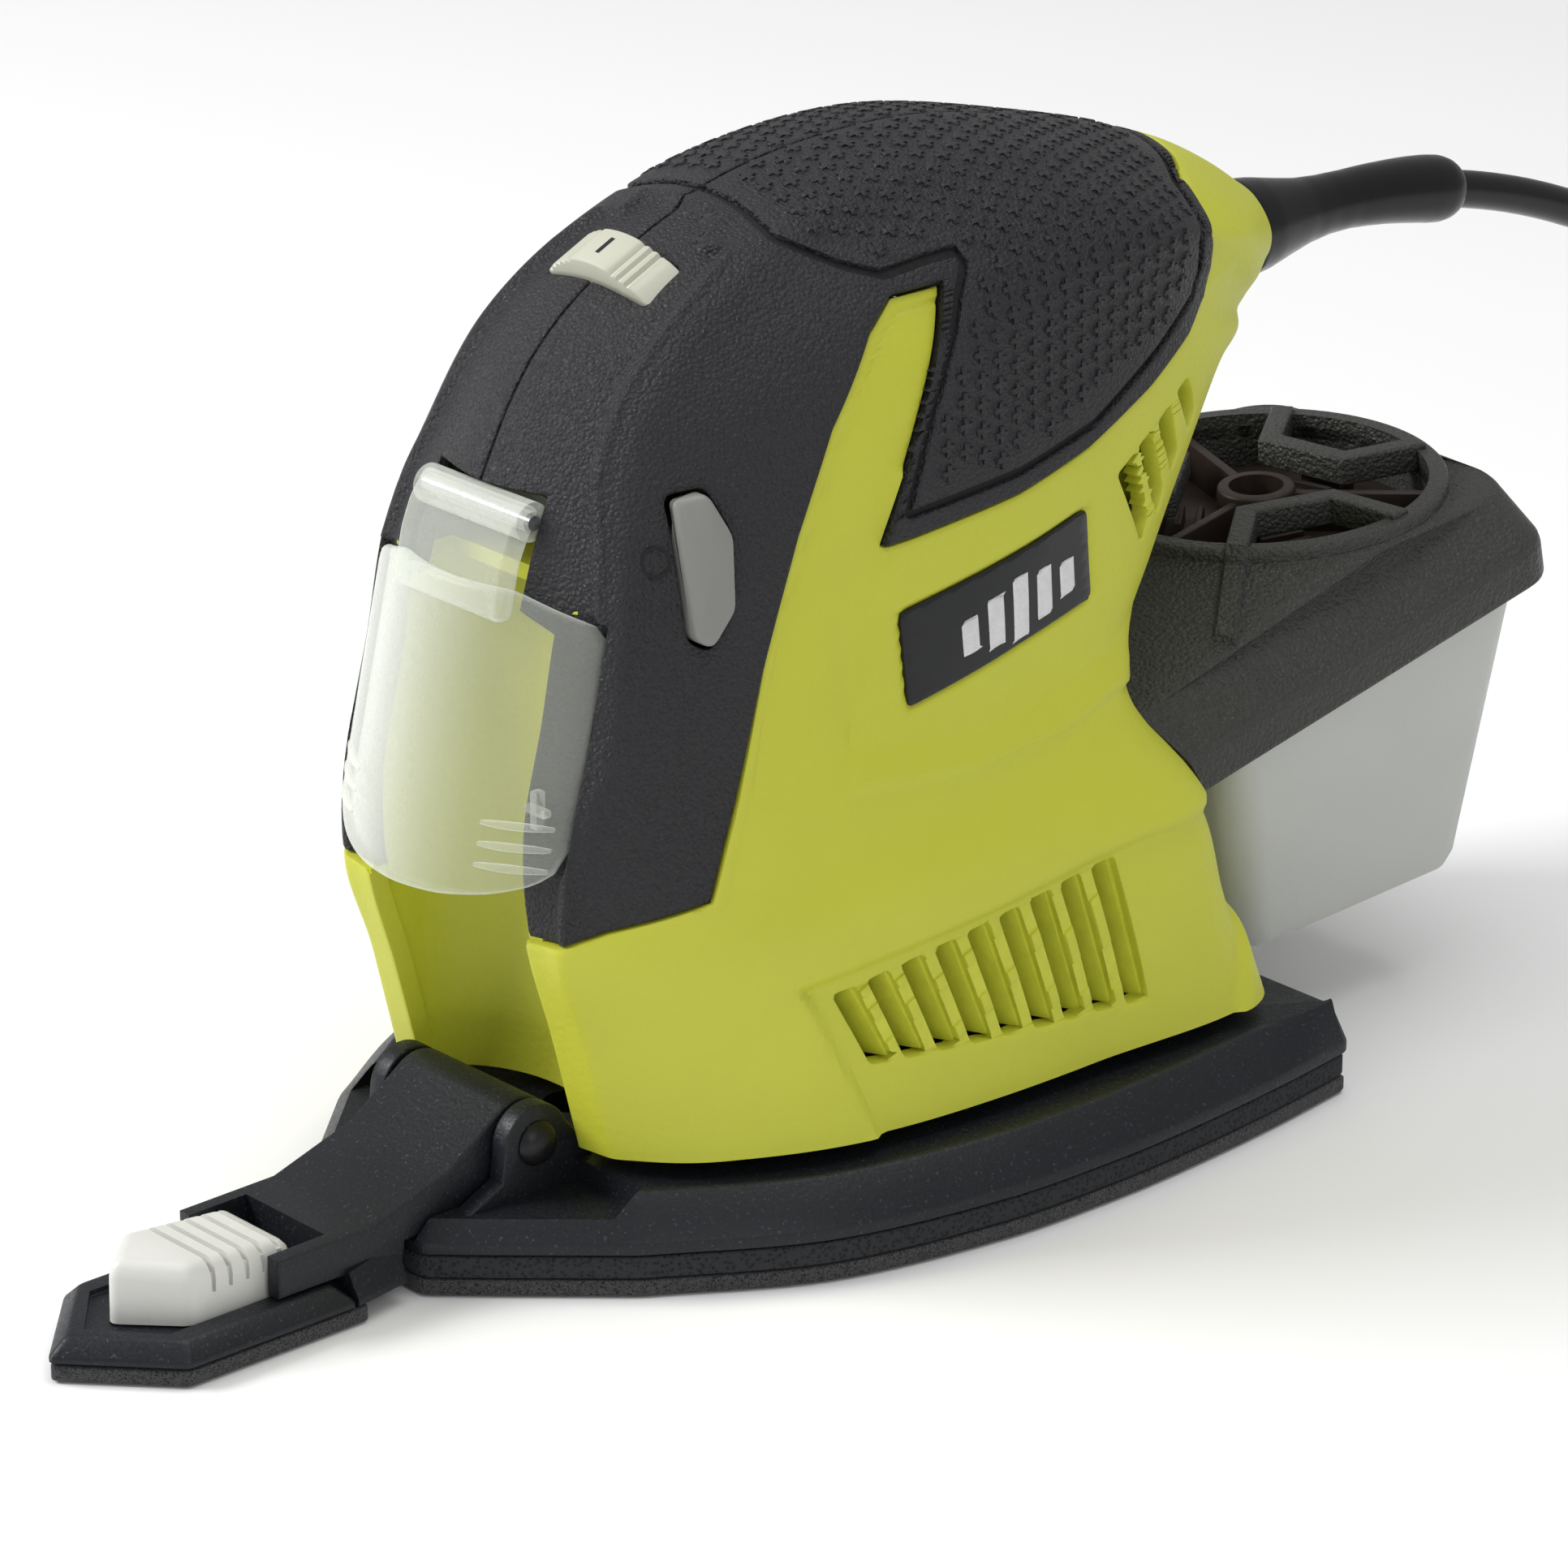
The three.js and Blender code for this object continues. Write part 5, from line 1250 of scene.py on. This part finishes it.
def build_pad():
    rings = []
    for inset, height in [(0.5, 6.3), (0.12, 6.45), (0, 6.8), (0, 8.1), (0.25, 8.6), (5.0, 13.75),
                          (5.5, 14.1), (6.2, 14.2)]:
        ring = pad_ring(inset)
        rear = inset * smooth_step(50, 62, ring[:, 1])
        ring = ring * np.stack([1 + 0.008 * rear, 1 + 0.0093 * rear], 1)
        rings.append(flat(ring[:, 0], ring[:, 1], np.full(len(ring), height)))
    body = loft(rings)
    nose = box_body((-30, 30), (-95, -54), (11, 17), 0.05)
    slot = box_body((-12, 12), (-90, -48.6), (8, 40), 0.4)
    shift = upright(0, 1)
    well = spun([(9.6, 8.4), (9.6, 15.2), (13.4, 15.2), (13.4, 30)], shift, 48)
    body = carve(body, [nose, slot, spun([(9.6, 8.4), (9.6, 20)], shift, 48)] + hole_tools(0, 30))
    seat = carve(spun(soften([(15, 13.6), (17, 13.6), (17, 21.8), (15, 21.8)]), shift, 48), [well])
    lugs = []
    outline = [(-78, 7.6), (-50, 7.6), (-50, 14.2), *boss_arc(20, 180, 20), (-67.6, 14), (-78, 9)]
    for side in (-1, 1):
        low, high = sorted((side * 12.3, side * 15.5))
        bore = spun([(2.1, -20), (2.1, 20)], along_x(*PIVOT), 20)
        lugs.append(carve(slab(outline, low, high, 0.4, sideways), [bore]))
    make("pad_plate", [body, seat, *lugs], BLUE_BLACK, "pad", ["base_plate"], smooth=28)
    foam = carve(slab(pad_ring(0.4), 2.6, 6.0, 0.35, flat), hole_tools(0, 10))
    make("foam_layer", [foam], FOAM, "pad", ["foam_pad"])
    sheet = carve(slab(pad_ring(0.2), 0, 2.3, 0.3, flat), hole_tools(-2, 10))
    make("hook_layer", [sheet], HOOK, "pad", ["hook_sheet"])
    half = [(0.05, 17.5), (1.6, 17.3), (2.8, 16.7), (3.4, 15.8), (1.9, 15.7)]
    profile = half + [(r, -w) for r, w in reversed(half)]
    make("pivot_pin", [spun(profile, along_x(*PIVOT), 32)], RUBBER, "pad", ["finger_pivot_pin"])


# ---------------------------------------------------------------- detail finger
FINGER_TIP, FINGER_CORNER, FINGER_HALF = -136.7, -123.2, 14.6


def finger_ring(end, inset=0.0):
    outline = [(0, FINGER_TIP), (FINGER_HALF, FINGER_CORNER), (FINGER_HALF, end), (-FINGER_HALF, end),
               (-FINGER_HALF, FINGER_CORNER)]
    return np.array(rounded(grown(counter_clockwise(outline), -inset), 0.9, 3))


def build_finger():
    profile = [(0.4, 2.6), (0, 2.9), (0, 3.5), (0.2, 3.9), (2.0, 5.7), (2.4, 6.0), (2.9, 6.1)]
    rings = [finger_ring(-93.6, inset) for inset, _ in profile]
    plate = loft([flat(*ring.T, np.full(len(ring), height)) for ring, (_, height) in zip(rings, profile)])
    recess = slab([(0, -130.4), (9.2, -122.6), (9.2, -80), (-9.2, -80), (-9.2, -122.6)], 5.2, 9, 0.3, flat)
    keyhole = box_body((-3.4, 3.4), (-121, -106), (3.9, 10))
    plate = carve(plate, [recess, keyhole])
    make("finger_shoe", [plate], BLUE_BLACK, "finger", ["finger_plate"], smooth=28)
    pad = slab(finger_ring(-91, 0.2), 0, 2.3, 0.3, flat)
    make("finger_hooks", [pad], HOOK, "finger", ["finger_hook_pad"])
    side = [(-93.2, 2.6), (-83.2, 2.6), (-82.2, 8.4), (-66, 8.6), *boss_arc(-100, 120, 24), (-74, 17),
            (-88, 12.6), (-105, 12.4), (-105, 6.4), (-93.2, 6.4)]
    arm = slab(side, -11.6, 11.6, 0.6, sideways)
    wing = []
    for inset, height, rise in [(0.3, 2.6, 0), (0, 2.9, 0), (0, 3.6, 0), (0.2, 4.0, 0.1), (2.2, 7.2, 1.4)]:
        half = FINGER_HALF - inset
        wing.append(np.array([(half, -93.3, height), (half - 1.6, -83.4, height + rise),
                              (1.6 - half, -83.4, height + rise), (-half, -93.3, height)]))
    tools = [
        spun([(2.2, -20), (2.2, 20)], along_x(*PIVOT), 20),
        box_body((-9, 9), (-120, -94.8), (5, 20)),
    ]
    parts = [carve(arm, tools), carve(loft(wing), tools[1:])]
    make("finger_link", parts, BLUE_BLACK, "finger", ["finger_arm"], smooth=28)
    build_slider()


def build_slider():
    outline = counter_clockwise([(0, -126.2), (8.4, -118), (8.0, -99.4), (-8.0, -99.4), (-8.4, -118)])
    rings = []
    for inset, height in [(0, 5.5), (0.1, 11.2), (0.5, 12.8), (1.2, 13.6), (2.2, 14.0)]:
        ring = np.array(rounded(grown(outline, -inset), 1.6 - 0.4 * inset, 5))
        drop = 0.08 * (ring[:, 1] + 112) * (height > 9)
        rings.append(flat(ring[:, 0], ring[:, 1], height - drop))
    grooves = []
    for k in range(5):
        y = -114.5 + 3 * k
        outline = [(y, 16), (y + 0.35, 9.4), (y + 0.95, 9.4), (y + 1.3, 16)]
        side = slab(outline, -9.5, 9.5, 0.05, sideways, 1)
        keep = slab([(-7.4, y - 1), (7.4, y - 1), (7.4, y + 3), (-7.4, y + 3)], 0, 12.0, 0.05, flat, 1)
        grooves.append(carve(side, [keep]))
    foot = box_body((-2.8, 2.8), (-119.6, -112), (4.2, 6.4))
    make("slider_button", [carve(loft(rings), grooves), foot], PALE_GREY, "finger_lock", ["lock_slider"],
         smooth=40)


# ---------------------------------------------------------------- dust unit
LID_Y, LID_Z, LID_SLOPE = 54.6, 48.9, math.radians(12.1)
RIM_Y, RIM_Z, RIM_SLOPE = 98.2, 78.2, math.radians(4)
RIM_RADIUS, OPEN_RADIUS, RIM_DEPTH = 29.6, 26.8, 10.5


def sloping(y, z, slope):
    """Places u across, v back along a sloping plane through (y, z) and w up from it."""
    c, s = math.cos(slope), math.sin(slope)
    return lambda u, v, w: np.stack([u, y + v * c - w * s, z + v * s + w * c], 1)


lid_place = sloping(LID_Y, LID_Z, LID_SLOPE)
rim_place = sloping(RIM_Y, RIM_Z, RIM_SLOPE)


def lid_ring(half, front, back, corner, height, steps=10):
    rows = []
    for x, v, start in ((half - corner, front + corner, -90), (half - corner, back - corner, 0),
                        (corner - half, back - corner, 90), (corner - half, front + corner, 180)):
        for k in range(steps + 1):
            a = math.radians(start + 90 * k / steps)
            rows.append((x + corner * math.cos(a), v + corner * math.sin(a)))
    rows = np.array(rows)
    return lid_place(rows[:, 0], rows[:, 1], np.full(len(rows), float(height)))


def rim_circle(radius, height, steps=10):
    starts = np.radians(np.add.outer([-84, 6, 96, 186], np.linspace(0, 78, steps + 1)).ravel())
    return rim_place(radius * np.cos(starts), radius * np.sin(starts), np.full(len(starts), float(height)))


def blended(first, second, share):
    return first * (1 - share) + second * share


def polar(radius, degrees):
    return radius * math.cos(math.radians(degrees)), radius * math.sin(math.radians(degrees))


def rim_bar(line, width, low, high, edge=0.6):
    """A flat-topped bar along a line of (u, v) points with mitred bends."""
    line = [np.array(p, float) for p in line]
    left, right = [], []
    for i, point in enumerate(line):
        ahead = line[min(i + 1, len(line) - 1)] - line[max(i, 1) - 1 if i == len(line) - 1 else i]
        back = point - line[i - 1] if i else ahead
        ahead, back = ahead / np.linalg.norm(ahead), back / np.linalg.norm(back)
        normal = np.array([-(ahead + back)[1], (ahead + back)[0]])
        normal /= np.linalg.norm(normal)
        reach = width / 2 / max(0.5, abs(normal @ np.array([-back[1], back[0]])))
        left.append(point + normal * reach)
        right.append(point - normal * reach)
    return slab(left + right[::-1], low, high, edge, rim_place, 3)


def dome_edges():
    """The lid's crease and the foot of the round rim, with a dome between them."""
    return lid_ring(29, -14, 77, 9, 13.3), rim_circle(RIM_RADIUS + 1.2, -2.7)


def build_lid():
    def wide(height, inset=0.0):
        return lid_ring(36 - inset, -12, 77 - inset, 7, height)

    ridge, foot = dome_edges()
    outside = [
        wide(0, 0.5), wide(0.35, 0.1), wide(0.8), wide(5.6), blended(wide(6.4), ridge, 0.05),
        blended(wide(6.4), ridge, 0.5), blended(wide(6.4), ridge, 0.94), blended(ridge, foot, 0.05),
        blended(ridge, foot, 0.3), blended(ridge, foot, 0.65), foot, rim_circle(RIM_RADIUS + 0.4, -2),
    ]
    inside = [
        lid_ring(34, -10, 75, 6, -3), lid_ring(34, -10, 75, 6, 5.8), lid_ring(27.6, -11, 75, 8, 11.6),
        rim_circle(RIM_RADIUS - 1, -3.9),
    ]
    opening = spun([(OPEN_RADIUS, -RIM_DEPTH - 1), (OPEN_RADIUS, 20)], rim_place, 96)
    roof = carve(loft(outside), [loft(inside), opening])
    profile = [(20, -RIM_DEPTH), (RIM_RADIUS, -RIM_DEPTH), (RIM_RADIUS + 0.3, 0), (20, 0)]
    middle = spun([(OPEN_RADIUS, -30), (OPEN_RADIUS, 20)], rim_place, 96)
    rim = carve(spun(soften(profile, 1.0, 3), rim_place, 96), [middle])
    clearance = skin_body(1.6)
    bars = []
    for start in (-51, 69, 189):
        end = start + 57
        line = [polar(28.3, start), polar(15, start), polar(15, end), polar(28.3, end)]
        bars.append(rim_bar(line, 3.6, -3.7, 0.9))
    parts = [carve(part, [clearance]) for part in (roof, rim, lid_leg(-51), lid_leg(231))]
    make("lid_shell", parts + bars, LID_BLACK, "dust_unit", ["dust_lid"], smooth=38)


def dome_height(x, y):
    """Height of the dome between the lid's crease and the rim."""
    ridge, foot = dome_edges()
    known = np.concatenate([blended(ridge, foot, share) for share in np.linspace(0, 1, 40)])
    nearest = np.argsort((known[:, 0] - x) ** 2 + (known[:, 1] - y) ** 2)[:4]
    return known[nearest, 2].mean()


def lid_leg(angle, width=3.6):
    """The bar's end that runs over the rim and down the dome to the crease."""
    aside = np.array(polar(width / 2, angle + 90))
    rings = []
    for reach in (28, 29.4, 30.2, 31, 32, 34, 36.5, 39, 42, 44.5):
        u, v = polar(reach, angle)
        x, y, top = rim_place(np.array([u]), np.array([v]), np.array([0.9]))[0]
        if reach > 30:
            top = min(top - 0.35 * min(reach - 30, 2), dome_height(x, y) + 1.5)
        section = [(-1, -5), (1, -5), (1, -0.5), (0.8, 0), (-0.8, 0), (-1, -0.5)]
        rings.append(np.array([(x + aside[0] * k, y + aside[1] * k, top + rise) for k, rise in section]))
    return oriented(*loft(rings))


def build_filter():
    bore = spun([(4.3, -30), (4.3, 10)], rim_place, 40)
    edge = OPEN_RADIUS - 0.5
    hub = carve(spun(soften([(2, -9.9), (6.4, -9.9), (6.1, -1.3), (2, -1.3)], 0.6, 3), rim_place, 48), [bore])
    disc = carve(spun([(10, -10.3), (edge, -10.3), (edge, -8.7), (10, -8.7)], rim_place, 80), [bore])
    parts = [hub, disc]
    for angle in (40, 160, 280):
        parts.append(rim_bar([polar(5.6, angle), polar(26, angle)], 1.6, -9.3, -2.3, 0.3))
    for angle in (100, 220, 340):
        for reach in range(9, 24, 3):
            mid = np.array(polar(reach, angle))
            aside = np.array(polar(3.6, angle + 90))
            parts.append(rim_bar([mid - aside, mid + aside], 1.0, -9.1, -6.3, 0.2))
    make("filter_cage", parts, BROWN_BLACK, "dust_unit", ["filter_frame"])


def tub_ring(half, front, back, corner, tilt, height):
    ring = lid_ring(half, front, back, corner, 0)
    ring[:, 2] = height + tilt * (ring[:, 1] - LID_Y) / math.cos(LID_SLOPE)
    return ring


def build_tub():
    floor_slope, top_slope = 0.05, 0.2144
    low, high = tub_ring(29.5, 14, 64, 6, floor_slope, 14.6), tub_ring(33.6, 6.5, 71.6, 6, top_slope, 49.5)
    base = tub_ring(27.2, 16.3, 61.7, 4.6, floor_slope, 14.3)
    outside = loft([base, blended(base, low, 0.7) + (0, 0, 0.2), blended(low, high, 0.05), high])
    inner_low = tub_ring(27.9, 15.6, 62.4, 5, floor_slope, 16.4)
    inner_high = tub_ring(32.4, 7.7, 70.4, 5, top_slope, 51.9)
    inside = loft([inner_low, inner_high])
    port = spun([(DUST_HOLE_RADIUS, 52), (DUST_HOLE_RADIUS, 72)],
                lambda u, v, w: np.stack([u, w, v + DUST_HOLE_Z], 1), 32)
    tub = carve(outside, [inside, port])
    make("tub_shell", [tub], MILKY, "dust_unit", ["dust_box"], smooth=40)


# ---------------------------------------------------------------- cable
CABLE_RADIUS = 3.0


def cable_line(y):
    return np.stack([0 * y, y, TAIL_Z - 0.0036 * np.maximum(y - 110, 0) ** 2], 1)


def build_cable():
    y = np.concatenate([[82], np.linspace(88.6, 139, 60)])
    profile_y = [82, 88.5, 89.2, 92, 96, 101, 106, 111, 116, 124, 130, 134, 136.5, 138, 139]
    profile_r = [4.6, 4.6, 7.4, 7.8, 7.3, 6.2, 5.2, 4.7, 4.6, 4.9, 5.2, 5.35, 5.3, 5.0, 4.5]
    sleeve = swept(cable_line(y), np.interp(y, profile_y, profile_r), 40)
    bore = swept(cable_line(np.linspace(70, 145, 40)), np.full(40, CABLE_RADIUS + 0.25), 24)
    make("cable_sleeve", [carve(sleeve, [bore])], CABLE, "housing", ["cable_guard"], smooth=50)
    line = swept(cable_line(np.linspace(70, 176, 90)), np.full(90, CABLE_RADIUS), 28)
    make("cable_run", [line], CABLE, "housing", ["power_cable"], smooth=50)


# ---------------------------------------------------------------- carried-over CAD nodes
def dress_nodes():
    """Every CAD node that stays visible gets its finish and softened edges."""
    slots = node_slots()
    for name, node in NODES.items():
        node.data.materials.clear()
        node.data.materials.append(SLOT_FINISH[slots[name]])
        if node.hide_render:
            continue
        joined = node.modifiers.new("weld", "WELD")
        joined.merge_threshold = MERGE
        bevel = node.modifiers.new("bevel", "BEVEL")
        bevel.width = 0.25 * MM
        bevel.segments = 2
        bevel.limit_method = "ANGLE"
        bevel.angle_limit = math.radians(40)
        bevel.use_clamp_overlap = True
        bevel.harden_normals = True


# ---------------------------------------------------------------- studio
def area_light(name, place, target, size, power):
    lamp = bpy.data.lights.new(name, "AREA")
    lamp.shape = "RECTANGLE"
    lamp.size = lamp.size_y = size
    lamp.energy = power
    holder = bpy.data.objects.new(name, lamp)
    holder.location = place
    holder.rotation_euler = (Vector(target) - Vector(place)).to_track_quat("-Z", "Y").to_euler()
    bpy.context.scene.collection.objects.link(holder)


def build_studio():
    bpy.ops.mesh.primitive_plane_add(size=8, location=(0, 0, -0.0004))
    floor = bpy.context.active_object
    floor.name = "floor"
    finish = Finish("floor_paper", (244, 244, 244), 0.9)
    finish.mottle(400, 0.01)
    floor.data.materials.append(finish.material)
    world = bpy.data.worlds.new("studio")
    world.use_nodes = True
    world.node_tree.nodes["Background"].inputs[0].default_value = (1, 1, 1, 1)
    world.node_tree.nodes["Background"].inputs[1].default_value = 0.4
    bpy.context.scene.world = world
    target = (0, 0, 0.07)
    area_light("key", (-0.75, -0.85, 0.85), target, 0.6, 16)
    area_light("top", (0.1, 0.2, 1.2), target, 0.9, 6)
    area_light("fill", (1.2, -0.5, 0.7), target, 0.7, 3)
    bpy.context.scene.view_settings.view_transform = "Standard"


def build_camera():
    camera = bpy.data.cameras.new("camera")
    camera.lens, camera.sensor_width = 162.1, 36
    camera.clip_end = 50
    holder = bpy.data.objects.new("camera", camera)
    holder.location = (0.7231, -0.6465, 0.4390)
    aim = Vector((0, 0, 0.05297)) - holder.location
    holder.rotation_euler = aim.to_track_quat("-Z", "Y").to_euler()
    bpy.context.scene.collection.objects.link(holder)
    bpy.context.scene.camera = holder


for build in (build_housing, build_inside, build_badges, build_flap, build_dial, build_switch, build_pad,
              build_finger, build_lid, build_filter, build_tub, build_cable, dress_nodes, build_studio,
              build_camera):
    build()
